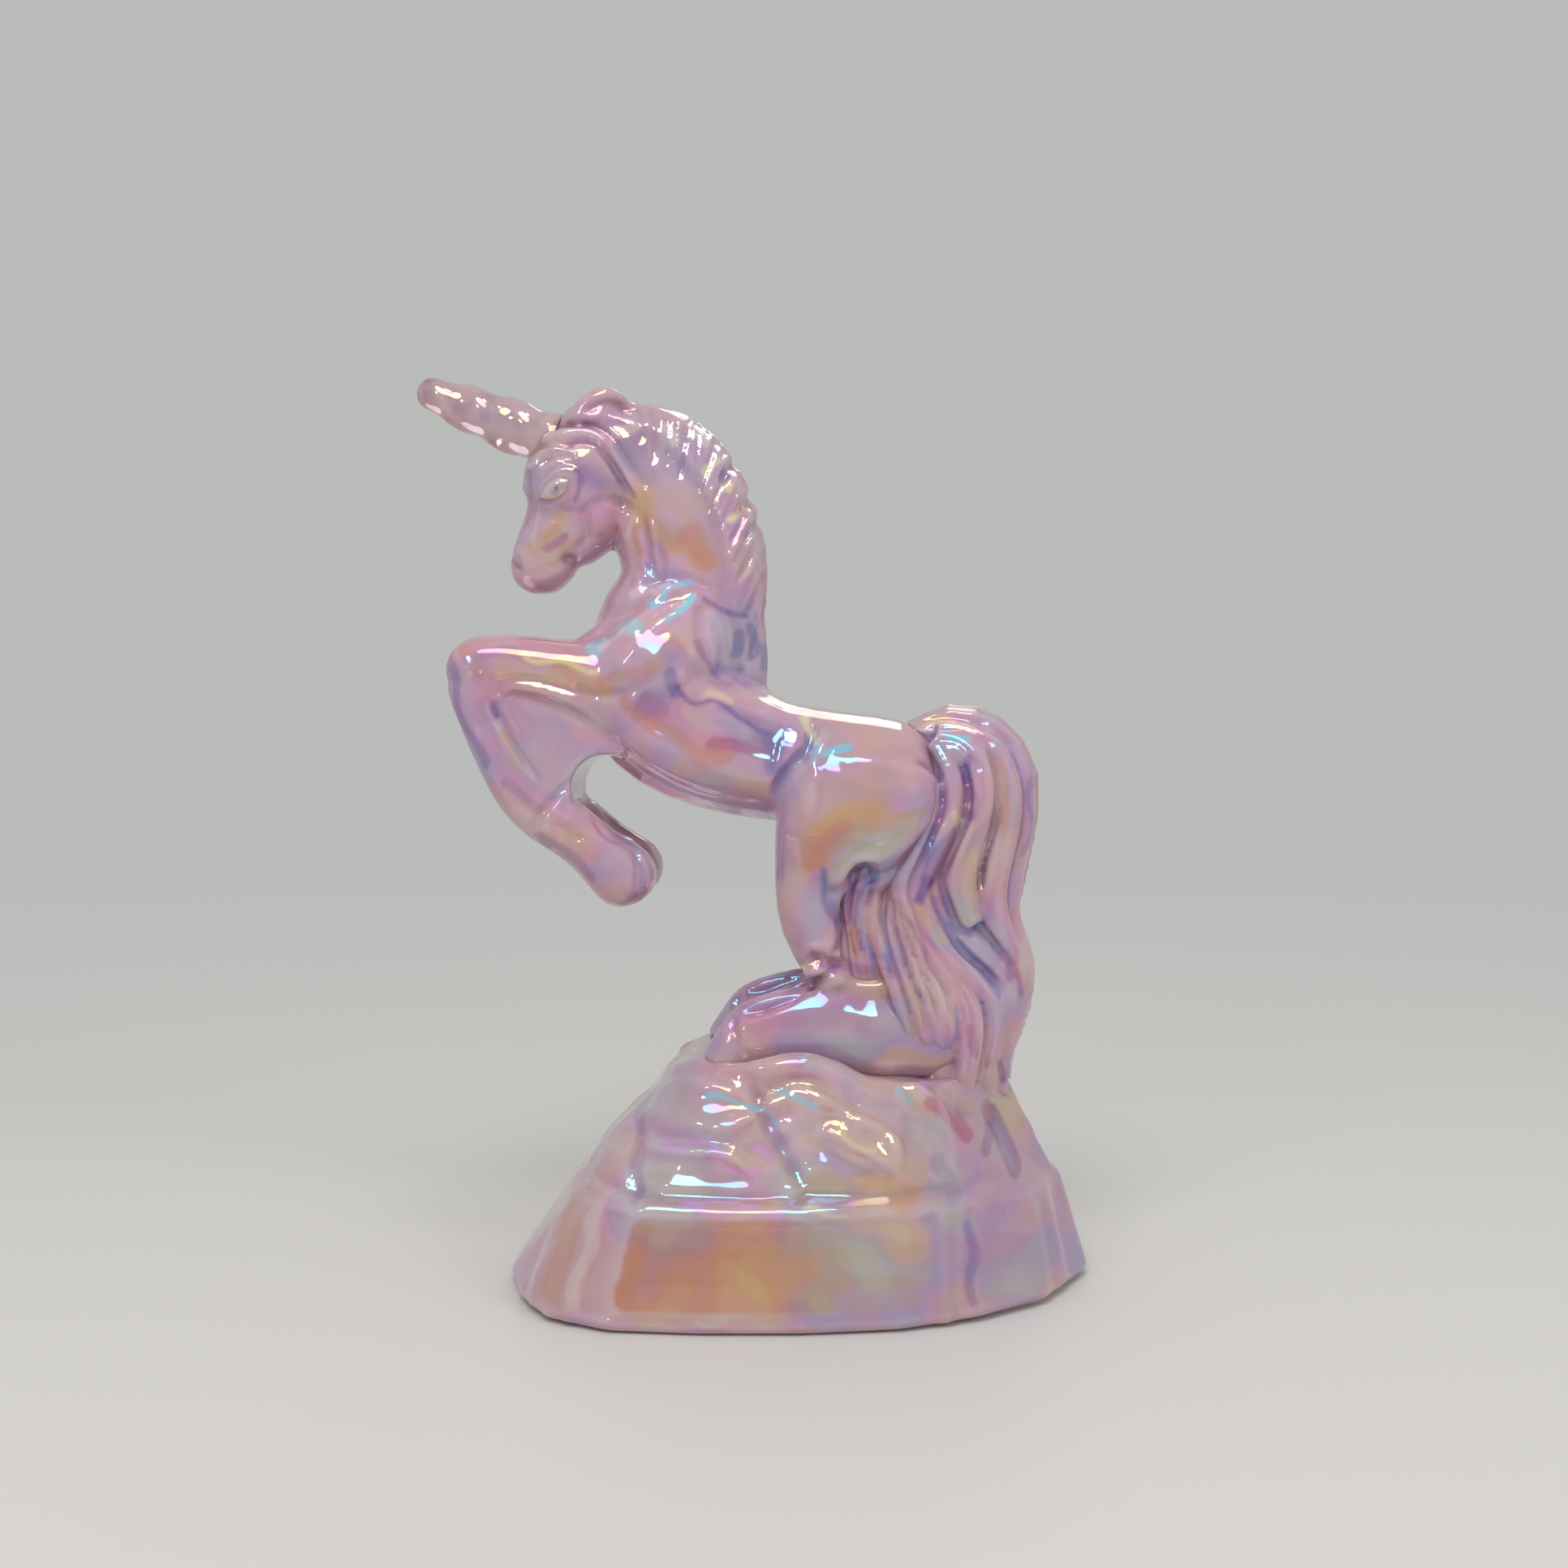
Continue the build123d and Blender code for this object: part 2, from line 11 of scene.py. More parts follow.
import bmesh
import bpy
import numpy as np
from bpy.props import FloatProperty, FloatVectorProperty, IntProperty, PointerProperty
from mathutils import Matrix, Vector


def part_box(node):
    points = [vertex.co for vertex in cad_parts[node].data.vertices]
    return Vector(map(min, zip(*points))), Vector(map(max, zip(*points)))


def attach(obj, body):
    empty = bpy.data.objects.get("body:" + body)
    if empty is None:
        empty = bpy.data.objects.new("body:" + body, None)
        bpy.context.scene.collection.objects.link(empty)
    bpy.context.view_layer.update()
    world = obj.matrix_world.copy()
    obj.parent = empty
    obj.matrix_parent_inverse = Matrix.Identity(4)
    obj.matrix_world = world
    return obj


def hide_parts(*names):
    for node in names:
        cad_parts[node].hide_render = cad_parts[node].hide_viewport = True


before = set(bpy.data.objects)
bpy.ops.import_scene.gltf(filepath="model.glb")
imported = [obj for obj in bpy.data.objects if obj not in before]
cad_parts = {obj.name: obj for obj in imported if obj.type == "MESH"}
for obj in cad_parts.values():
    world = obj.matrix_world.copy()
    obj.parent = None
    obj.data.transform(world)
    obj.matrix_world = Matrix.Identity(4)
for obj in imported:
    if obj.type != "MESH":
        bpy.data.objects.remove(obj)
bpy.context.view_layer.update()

bl_info = {
    "name": "Pressed glass unicorn",
    "version": (1, 0, 0),
    "blender": (4, 5, 0),
    "location": "3D View > Sidebar > Unicorn",
    "description": "Builds a rearing unicorn figurine in iridescent pressed glass around its CAD solids",
    "category": "Object",
}

MM = 0.001
BODY = "root"

PAIRED = ["shoulder", "forearm", "fore_cannon", "fore_hoof", "thigh", "hind_cannon", "hind_hoof", "ear"]
BODY_NODES = ["hindquarters", "barrel", "chest", "neck", "head", "muzzle", "foreleg_web", "forelock", "mane"]
BODY_NODES += [f"{side}_{name}" for name in PAIRED for side in ("left", "right")]
TAIL_NODES = ["tail", "inner_tail_lock"]
BASE_NODES = ["base_plinth", "rock_mound"]

# Smoothing and fading
DOUBLES = 0.002 * MM  # points nearer than this are one point
PULL = 0.5  # share of the way to its neighbours' mean that a point moves in one pass
PUSH = 0.53  # share of the way that it is then pushed back, which keeps the volume
STEPS = 6  # points on a curve for each drawn one
END_RATE = 5  # a stroke fades over one part in this many of its length at each end
TURN_FADE = 0.3  # how gently strokes fade where the skin turns away
HOLLOW_PASSES = 12  # how often the measure of hollows is smoothed
HOLLOW_RADIUS = 3.6  # scale of that measure, in millimetres
SWAY = 0.5  # how far a loose wash sways, in millimetres
EDGE = 0.6  # least width of a wash's faded edge, in millimetres
EXACT_EDGE = 0.4  # share of its width over which a drawn wash fades
FINEST_GRID = 0.2 * MM  # least cell of a skin
ROCK_HEIGHTS = (17, 34)  # from where to where the rock is rippled, in millimetres

# How far sideways a skin has to face before it takes strokes. A minus value takes in every side
FACING_SIDE = 0.25
FACING_CREST = 0.15
FACING_ROCK = 0.12
FACING_ANY = -0.3

# Mane: a drawn line's width, then the strands between two lines: share of the way, width and depth
MANE_LINE_WIDTH = 0.85
MANE_STRANDS = [(0.25, 0.7, 0.15), (0.5, 0.5, -0.22), (0.75, 0.7, 0.15)]

# Thickness along a lock and along the horn: share of the way, share of the thickness
LOCK_TAPER = [(0.0, 0.6), (0.3, 1.0), (0.75, 0.97), (1.0, 0.85)]
HORN_TAPER = [
    (0.0, 1.0), (0.25, 0.97), (0.48, 0.89), (0.69, 0.77), (0.86, 0.64), (0.94, 0.5), (0.98, 0.3), (1.0, 0.06),
]
LOCK_SIDES = 16
LOCK_STEPS = 40
HORN_SIDES = 40
HORN_STEPS = 110
HORN_RIDGES = 2
HORN_TIP_DROP_SHARE = 0.6  # of the radius, from the top of the CAD horn to its axis at the tip
HORN_OVERRUN = 0.4 * MM  # how far the horn goes past the end of the CAD one

# Eye, in millimetres, drawn from the middle of the CAD eye
EYE_TILT = math.radians(27)
EYE_SHIFT = 0.5
EYE_LENGTH = 2.4
EYE_HEIGHT = 1.35
EYE_BULGE = 0.65
EYE_SEAT = (0.12, 0.25, -0.045)  # the curve of the head under the eye
EYE_POINT_SHARE = 0.7  # how much lower the eye is at its corners
PUPIL_SHARE = 0.2  # how much of the bulge the pupil takes away
PUPIL_SPREAD = 0.06
EYE_SEGMENTS = 64
EYE_RINGS = 40

# Stage, in metres: each lamp's place, width, share of the power and whether the glass mirrors it
LAMP_TARGET = (-0.005, 0, 0.06)
SOFTBOXES = [
    ("Main softbox", (-0.10, -0.36, 0.52), 0.30, 1.0, True),
    ("Side softbox", (0.40, -0.34, 0.30), 0.20, 0.4, False),
    ("Back softbox", (0.10, 0.45, 0.45), 0.20, 0.12, True),
]
SPARKLES = [
    ("Left sparkle", (-0.26, -0.34, 0.30), 0.06, 1.0, True),
    ("Top sparkle", (0.03, -0.18, 0.50), 0.06, 1.0, True),
]
FLOOR_RADIUS = 0.6
FLOOR_SIDES = 128
FLOOR_FADE = (0.09, 0.5)  # from where to where the floor fades into the backdrop
CAMERA_PLACE = (-0.00228, -0.22747, 0.07823)
CAMERA_PITCH = math.radians(90 - 2.192)
CAMERA_ANGLE = math.radians(51.98)

# Strokes: points along and up, width and depth. A minus depth is pressed in
BODY_STROKES = [
    ([(-13.6, 95), (-13.5, 90), (-12.6, 87), (-11.4, 85.2), (-9, 83.8)], 1.3, -0.6),
    ([(-22, 96.4), (-17.5, 98), (-12.2, 95.8)], 1.4, -0.5),
    ([(-20.6, 94.4), (-18.6, 95.6), (-17.4, 97.2)], 1.2, 0.5),
    ([(-20, 90.8), (-16.6, 93), (-13.8, 95.4)], 1.3, 0.5),
    ([(-28, 87.8), (-24.6, 90.6), (-21.6, 90.4)], 1.8, 0.4),
    ([(1.9, 78), (0.6, 74.4), (-1.4, 72), (-3.6, 69)], 1.4, -0.9),
    ([(3.4, 78), (2.6, 74), (1.6, 70), (0.6, 65)], 1.6, 0.4),
    ([(-22, 81), (-14.5, 77.6), (-9, 75.6), (-3, 74.4)], 4.2, -1.3),
    ([(-28, 80), (-20, 74.4), (-13, 70.8), (-3.6, 69.6)], 3, 0.6),
    ([(-18.5, 84.8), (-13, 82.6), (-8, 80.6), (0, 78.4)], 2, 0.4),
    ([(-42, 84), (-36, 83.9), (-30, 82.6), (-24, 82), (-19.6, 84.8)], 1.2, -0.5),
    ([(-41, 81), (-39.4, 83), (-35, 82.6), (-30, 80.4), (-26.4, 77.6)], 1, 0.4),
    ([(-43, 81), (-40, 75.4), (-36, 69.6)], 1, 0.5),
    ([(-42, 81), (-39, 75.4), (-35, 69.6)], 1, -0.4),
    ([(-36.8, 63), (-34.2, 67.4), (-31, 70.4)], 1, -0.6),
    ([(-28.8, 67), (-26.6, 63.2), (-23.4, 61.6), (-22, 58.6), (-22.6, 54)], 0.9, -0.5),
    ([(-33.8, 65), (-29.4, 62.2)], 1, -0.4),
    ([(3.4, 56.4), (8, 59.4), (12, 61), (17.6, 65.6)], 1.8, 0.7),
    ([(3.6, 55.2), (8, 56.9), (11, 57.6), (13.4, 59), (18, 65)], 1.1, -0.6),
    ([(18, 76), (19.2, 71), (18.8, 66), (16.6, 61)], 1.2, -0.6),
    ([(3.2, 58), (3.4, 54.4), (5.2, 51.4), (5.4, 48.6), (4, 46)], 1, -0.5),
    ([(1, 46.8), (3.2, 45.8), (6.6, 45)], 1.6, -1.2),
    ([(4, 45.6), (-1, 43.2), (-5, 41.4), (-9, 40)], 1.4, 0.8),
    ([(5, 45.2), (0, 41.7), (-4, 40), (-8, 39)], 1.1, -0.9),
    ([(-10, 37.6), (0, 37.8), (10, 39.4)], 3, -0.4),
    ([(-8.2, 40.6), (-9.4, 37.4), (-7.6, 33)], 1.1, -0.6),
]
HEAD_STROKES = [
    ([(-39.6, 98.6), (-36.4, 99.2), (-33.4, 100.2), (-31.6, 101.2)], 0.7, -0.2),
    ([(-40, 101.4), (-38.9, 99.6)], 0.9, -0.7),
    ([(-32.9, 101.2), (-31.4, 100.6)], 0.8, -0.45),
    ([(-30.8, 101.8), (-29.2, 104), (-29.8, 107.4)], 1.3, -0.35),
    ([(-30.6, 106.4), (-27.6, 108.5), (-24.4, 108.4), (-21.8, 106)], 1, -0.35),
    ([(-29, 105.8), (-23.6, 105.8)], 2.8, 0.5),
    ([(-36.2, 109.2), (-35, 111), (-33.4, 112.3), (-31.4, 112.6), (-30.4, 111.4)], 0.7, 0.4),
    ([(-36.8, 109.8), (-35.5, 111.8), (-33.6, 113.2), (-31.2, 113.5), (-29.6, 112), (-29.8, 109.4)],
      0.7, -0.35),
    ([(-36, 108.4), (-34.2, 107.8), (-32.4, 107.8), (-30.9, 109)], 0.6, 0.2),
    ([(-37, 112.6), (-35.4, 115.2), (-32.4, 116)], 1, 0.5),
    ([(-35.8, 113.6), (-33.4, 114.8), (-30.8, 114.4)], 0.8, -0.45),
    ([(-37.4, 113), (-36.6, 109), (-37.6, 104.6)], 1, -0.4),
    ([(-36.2, 107), (-36.8, 102.6)], 1.2, 0.4),
    ([(-21.8, 107), (-20.9, 102.6), (-20.2, 98)], 0.8, -0.6),
    ([(-20.2, 106), (-19.6, 101.6), (-18.8, 97.8)], 0.9, 0.3),
    ([(-37, 117.2), (-33, 117.7), (-29.4, 117.9), (-27, 116.6), (-25, 114.2), (-23.2, 111.4), (-21.6, 109)],
      1.2, 0.8),
    ([(-36, 118.9), (-31, 119.1), (-28, 118.8), (-25.6, 116.8), (-23.6, 113.8), (-21, 110)], 0.8, -0.6),
    ([(-37, 116), (-32, 116.3), (-28.6, 116.4), (-26.4, 114.4), (-24.6, 111.8), (-23, 109)], 0.8, -0.6),
    ([(-29.6, 120.8), (-26.4, 122.1), (-23, 121)], 0.9, -0.7),
    ([(-30, 120), (-27, 120.2), (-24, 119.6), (-21.6, 118)], 1, 0.4),
]

# Lines combed into the mane, from the crest down the neck, and their depth
MANE_LINES = [
    ([(-22.8, 122.8), (-22, 119.6), (-21.6, 116.4)], -0.4),
    ([(-20.6, 121.8), (-20.1, 118.2), (-20.2, 113.5)], -0.55),
    ([(-18.4, 121.2), (-18.2, 117.2), (-18.6, 112)], -0.3),
    ([(-15.7, 120.4), (-16, 116.8), (-16.8, 111.4)], -0.6),
    ([(-14.2, 119.9), (-14.2, 116), (-14.7, 110.4)], -0.4),
    ([(-11.6, 118.2), (-12.4, 114.4), (-14, 109.8)], -0.6),
    ([(-9.4, 114.6), (-10.9, 110.8), (-12.6, 107)], -0.5),
    ([(-8, 112), (-9.6, 108.2), (-11.2, 104.4)], -0.35),
    ([(-6.6, 109.2), (-8.4, 105.2), (-10.1, 101.6)], -0.55),
    ([(-5.2, 105.4), (-6.9, 101.2), (-8.6, 97.4)], -0.35),
    ([(-4.4, 100), (-5.8, 96.6), (-7.6, 92.6)], -0.6),
    ([(-4.6, 95.6), (-5.6, 91.8), (-6.6, 87.8)], -0.45),
]

# Strokes for the notches in the outline of the crest
MANE_NOTCHES = [
    ([(-14.8, 121.2), (-15.2, 119.6), (-15.3, 116.8)], 0.9, -0.45),
    ([(-8.4, 115.4), (-9.4, 113.9), (-11, 111)], 1.1, -0.7),
    ([(-6.2, 110.9), (-7.3, 109.2), (-9, 106)], 1.1, -0.7),
    ([(-4.8, 107.8), (-6, 106), (-7.8, 103)], 1, -0.6),
]

# Strokes for the hollow under the haunch
RECESS_STROKES = [
    ([(8.6, 59.6), (8.1, 56.8), (7.5, 54), (6.9, 50.6)], 2.7, -2.4),
    ([(6.4, 45.8), (6.5, 49), (6.9, 53)], 1.2, -1),
]

# Strokes between the locks of the tail
TAIL_STROKES = [
    ([(16.4, 78.6), (21, 79), (26, 78)], 0.7, -0.45),
    ([(16.6, 77.4), (22, 77.6), (26.6, 75)], 0.7, -0.45),
    ([(17, 76), (21.6, 75.4), (24.4, 71.6)], 0.7, -0.45),
    ([(19.4, 70), (18.9, 66), (17.2, 61.6), (15, 57), (14.9, 54), (16.8, 50), (19.6, 46.2), (23, 42.4),
      (25.4, 38)], 0.7, -0.6),
    ([(19, 57), (20.2, 53), (21.4, 50.4), (22.8, 49.4), (24, 49.8)], 0.7, -0.6),
    ([(22, 73), (22.8, 69), (22.4, 65), (20.4, 60.4), (19, 56.6)], 0.7, -0.6),
    ([(25.6, 75), (26.8, 70), (26.4, 65), (24.8, 59.6), (24.4, 55)], 0.7, -0.6),
    ([(29.2, 74), (30.6, 68), (30, 62), (28.4, 56), (28.8, 50)], 0.7, -0.5),
    ([(19.6, 50.8), (22, 47.2), (25.4, 44.2), (28, 41)], 0.7, -0.6),
    ([(25, 50), (27, 47.4), (29.4, 44.4)], 0.7, -0.5),
    ([(17.8, 72), (17.2, 66.6), (14.9, 61.8), (12.8, 58.4)], 0.7, -0.4),
    ([(11.4, 54.5), (11.2, 50), (12.4, 45.5), (14, 41), (15.4, 36)], 0.55, -0.55),
    ([(12.2, 54.5), (12.7, 50), (14.2, 45.6), (16, 41), (17.2, 36)], 0.55, -0.55),
    ([(12.8, 54.4), (14, 50), (15.8, 45.8), (17.8, 41.4), (19, 36.4)], 0.55, -0.55),
    ([(13.4, 54), (15.2, 50), (17.4, 46), (19.6, 42), (20.8, 36.6)], 0.6, -0.6),
    ([(15.4, 52), (18, 47.4), (21, 43.6), (23, 39), (23, 34)], 0.6, -0.4),
    ([(5.4, 57), (5.3, 53), (6, 49), (6.8, 43)], 0.5, -0.4),
    ([(7.4, 58), (6.5, 53.6), (6.7, 49), (8.2, 43)], 0.5, -0.4),
    ([(9.3, 58.4), (7.9, 54), (7.8, 49.4), (9.4, 43)], 0.5, -0.4),
    ([(10.4, 58), (9.1, 54), (9, 49.4), (10.7, 43)], 0.5, -0.4),
]

# Strokes for the cracks and ledges of the rock and the corners of the foot
ROCK_STROKES = [
    ([(-7, 32), (-5.2, 27), (-3.4, 23.6), (-1.2, 20.4), (1, 17)], 1.4, -0.8),
    ([(-21, 31), (-21.8, 25), (-22, 19.6), (-21.4, 15)], 1.3, -0.5),
    ([(-21, 21.4), (-14, 22), (-9.4, 21.8), (-5, 18.4)], 1.2, 0.6),
    ([(-20, 23.2), (-14, 23.6), (-9, 23)], 1.2, -0.45),
    ([(-16.6, 29.4), (-11, 29.8), (-7, 27.6)], 1.1, 0.45),
    ([(-2, 30), (1.6, 29.2), (6, 26.6), (11.2, 24.2), (13.4, 21)], 1.2, 0.6),
    ([(3, 25), (8, 22.4), (12.4, 20)], 1.2, 0.6),
    ([(0.6, 24.8), (5.4, 21.2), (11.4, 18.2)], 1.2, -0.5),
    ([(16, 31.4), (20, 28), (23, 24)], 1.4, -0.3),
    ([(14, 30.4), (18.6, 26.4), (20.6, 20)], 1.2, 0.5),
    ([(25, 28), (26.8, 24), (30, 18.6)], 1.8, -0.4),
    ([(-34, 15.9), (-20, 15.4), (-8, 15.2), (4, 15.2), (16, 15.4), (30, 15.9)], 1.4, 0.8),
    ([(-30, 16.9), (-18, 17.1), (-6, 16.9), (2, 17.1), (14, 17.3), (28, 17.6)], 0.9, -0.5),
    ([(-26, 15), (-28.6, 8), (-30.8, 1)], 1.5, 0.6),
    ([(-31, 14.6), (-33.6, 8), (-36, 1)], 1.3, 0.5),
    ([(18.4, 15), (18.4, 8), (18.6, 0.6)], 1.6, 0.6),
    ([(22.4, 15), (22, 9), (22, 1.6)], 1, -0.45),
    ([(33, 15), (34.6, 8), (36, 1)], 1.4, 0.6),
    ([(-40, 1.4), (-20, 1), (0, 1), (14, 1.2), (34, 1.9)], 1.2, 0.6),
]

# Seams that melt away: points along and up, and width
BODY_MELTS = [
    ([(-26, 119), (-22, 115.5), (-18.5, 111), (-15, 106), (-12.6, 100.5), (-11, 95.5), (-8.6, 88.6)], 3.2),
    ([(-24.6, 122.8), (-21.6, 121.6), (-18.6, 120.6)], 2.4),
    ([(-27, 89.5), (-26.4, 84), (-24.6, 79.6)], 2.6),
    ([(-41, 82), (-36, 78.4), (-30, 76.6), (-26, 76)], 2.4),
    ([(-40, 79), (-36.5, 72.5), (-32.6, 66.5), (-29.5, 63)], 2.4),
    ([(-17, 98), (-12, 96)], 2.6),
    ([(-27, 97), (-26, 92.5), (-28, 88.6)], 3.2),
]
TAIL_MELTS = [
    ([(30.4, 52), (32, 47.6), (32.4, 44.6), (31, 39.4), (29.4, 34)], 1.8),
]

# Locks of hair: points along, out to the side and up, then the lock's half thickness
TAIL_LOCKS = [
    ([(20, 1.4, 78.2), (26.5, 2, 77.2), (30.8, 2.4, 71.5), (31.2, 2.6, 64.5), (29.2, 3, 57), (28.6, 3.2, 51),
      (31.5, 3.2, 45), (30.6, 3, 39), (28, 2.8, 32), (26.6, 2, 24)], 2),
    ([(19, 4.6, 77), (25.6, 5.4, 76.4), (28.6, 6, 70.5), (28.4, 6.4, 64.5), (26.8, 6.8, 58.5),
      (26, 7.2, 53.5), (27.6, 7, 48.5), (29.6, 5.6, 44.5), (29.4, 5, 40), (27.6, 4.8, 35), (25.8, 3.2, 24)],
      2.1),
    ([(18.6, 5.6, 76), (23.6, 6.8, 74), (25, 7.4, 70), (24.2, 8, 65), (22.2, 8.4, 60), (21.6, 8.6, 56),
      (22.4, 8.4, 53), (23.2, 8, 50.8)], 2.5),
    ([(20, 7.4, 56), (20.6, 7.8, 52), (23.2, 8, 47.8), (26.4, 7.2, 45), (28.6, 6.2, 41), (27.2, 5.6, 35),
      (25.2, 3.8, 24)], 1.9),
    ([(18.2, 6.6, 75.6), (20.8, 8.2, 72), (20.8, 9, 67), (18.7, 9.4, 62), (16.2, 9.4, 57.5), (15.9, 9.2, 54),
      (17.7, 9.2, 50), (20.6, 9, 46), (24.6, 8.4, 42), (26.6, 7.6, 38), (26, 7, 33), (24.4, 4.8, 24)], 1.7),
    ([(18.4, 8.4, 70), (17.4, 9.4, 65), (15.2, 10, 60.5), (13.6, 10, 56.5), (14, 9.8, 53), (15.8, 9.8, 50),
      (18.6, 10.2, 46.2), (21.6, 10.2, 42.4), (23.2, 10.2, 38), (23, 9.8, 33.6), (21.6, 7.4, 24.4)], 1.9),
    ([(20, 5.6, 74), (20.6, 6.4, 66), (18.2, 6.6, 60), (17, 6.8, 54), (19.2, 7, 48.5), (23, 6.6, 43),
      (24.2, 6, 36), (23.4, 5.6, 28.6)], 2.9),
    ([(12.6, 6.6, 55), (13.4, 7.4, 49.5), (15.4, 8.2, 44.5), (17.8, 8.6, 40), (18.8, 8.4, 35), (18.8, 8, 29)],
      2.7),
    ([(11.2, 8.2, 56), (10.4, 8.8, 51), (11.4, 9.6, 46.5), (13, 11.2, 42), (14.6, 12, 38), (15.2, 11, 34.6),
      (15.2, 9, 31.6)], 1.2),
    ([(11.7, 8.6, 56), (11.9, 9.6, 51), (13.1, 10.6, 46.4), (14.8, 11.8, 42), (16.5, 12.2, 38),
      (17.2, 11.4, 34.4), (17.2, 9.2, 31.4)], 1.2),
    ([(12.2, 9, 55.8), (13.3, 10.2, 50.8), (14.9, 11, 46.2), (16.8, 11.9, 41.8), (18.3, 12.1, 37.8),
      (18.9, 11.2, 34.4), (18.8, 9, 31.4)], 1.2),
    ([(12.7, 9.2, 55.6), (14.5, 10.4, 50.6), (16.5, 11, 46.4), (18.7, 11.6, 42.4), (20, 11.7, 38.6),
      (20.4, 10.8, 34.8), (20.2, 8.6, 31.6)], 1.2),
    ([(13.1, 9.2, 55.4), (15.5, 10.2, 50.2), (17.8, 10.8, 46.2), (20.2, 11, 42.6), (21.4, 10.8, 39),
      (21.6, 10, 35), (21.2, 8.2, 31.8)], 1.1),
    ([(7.6, 7, 57.4), (7.4, 6.6, 50), (8.4, 6.6, 41)], 2.3),
    ([(4.8, 7.6, 58), (4.9, 7.2, 52), (5.4, 6.8, 45)], 1.6),
    ([(5.6, 9.4, 58), (5.6, 9, 54), (6, 8.4, 50.4), (6.3, 8, 46), (6.6, 7.8, 40.6)], 0.9),
    ([(7, 10.2, 58.4), (6.5, 9.9, 54), (6.6, 9, 49.6), (7.2, 8.3, 45.6), (7.6, 8, 40.6)], 0.9),
    ([(8.8, 10.6, 59), (7.4, 10.2, 54.6), (7.2, 9.2, 49.8), (8.2, 8.5, 45.6), (8.8, 8.2, 40.6)], 0.9),
    ([(10, 10.4, 59), (8.5, 10.1, 54.6), (8.4, 9.2, 50), (9.4, 8.6, 45.6), (10, 8.3, 40.6)], 0.9),
    ([(10.9, 10, 58.6), (9.7, 10, 54.4), (9.6, 9.3, 50), (10.6, 8.8, 45.6), (11.4, 8.6, 40.6)], 0.9),
]

# Drawn as locks are: the glass between chest and forearm, and the lip on which the hair under the haunch ends
CHEST_FORMS = [
    ([(-26.4, 3, 91.6), (-28, 5, 89.6), (-30, 6.4, 88.4)], 1.8),
    ([(3, 8.8, 42), (6, 9.2, 42.2), (9.4, 9.4, 41.8), (12.6, 9.4, 42.2), (14.6, 8.6, 41)], 1.3),
]

# Drawn as locks are: the bank of glass where the folded legs melt into the rock
BANK_FORMS = [
    ([(-17, 6, 30), (-12, 11, 30.5), (-8.5, 13, 30.6), (-5, 14, 31.4), (0, 14.4, 32.8), (5, 14.2, 31),
      (8, 14, 29.2), (11, 14, 27.8), (15, 13.2, 28.2), (18.4, 11.4, 27.6), (21.6, 9.4, 26.8), (24.6, 7, 26.2),
      (26.8, 4, 26), (27.6, 0, 26)], 2),
]

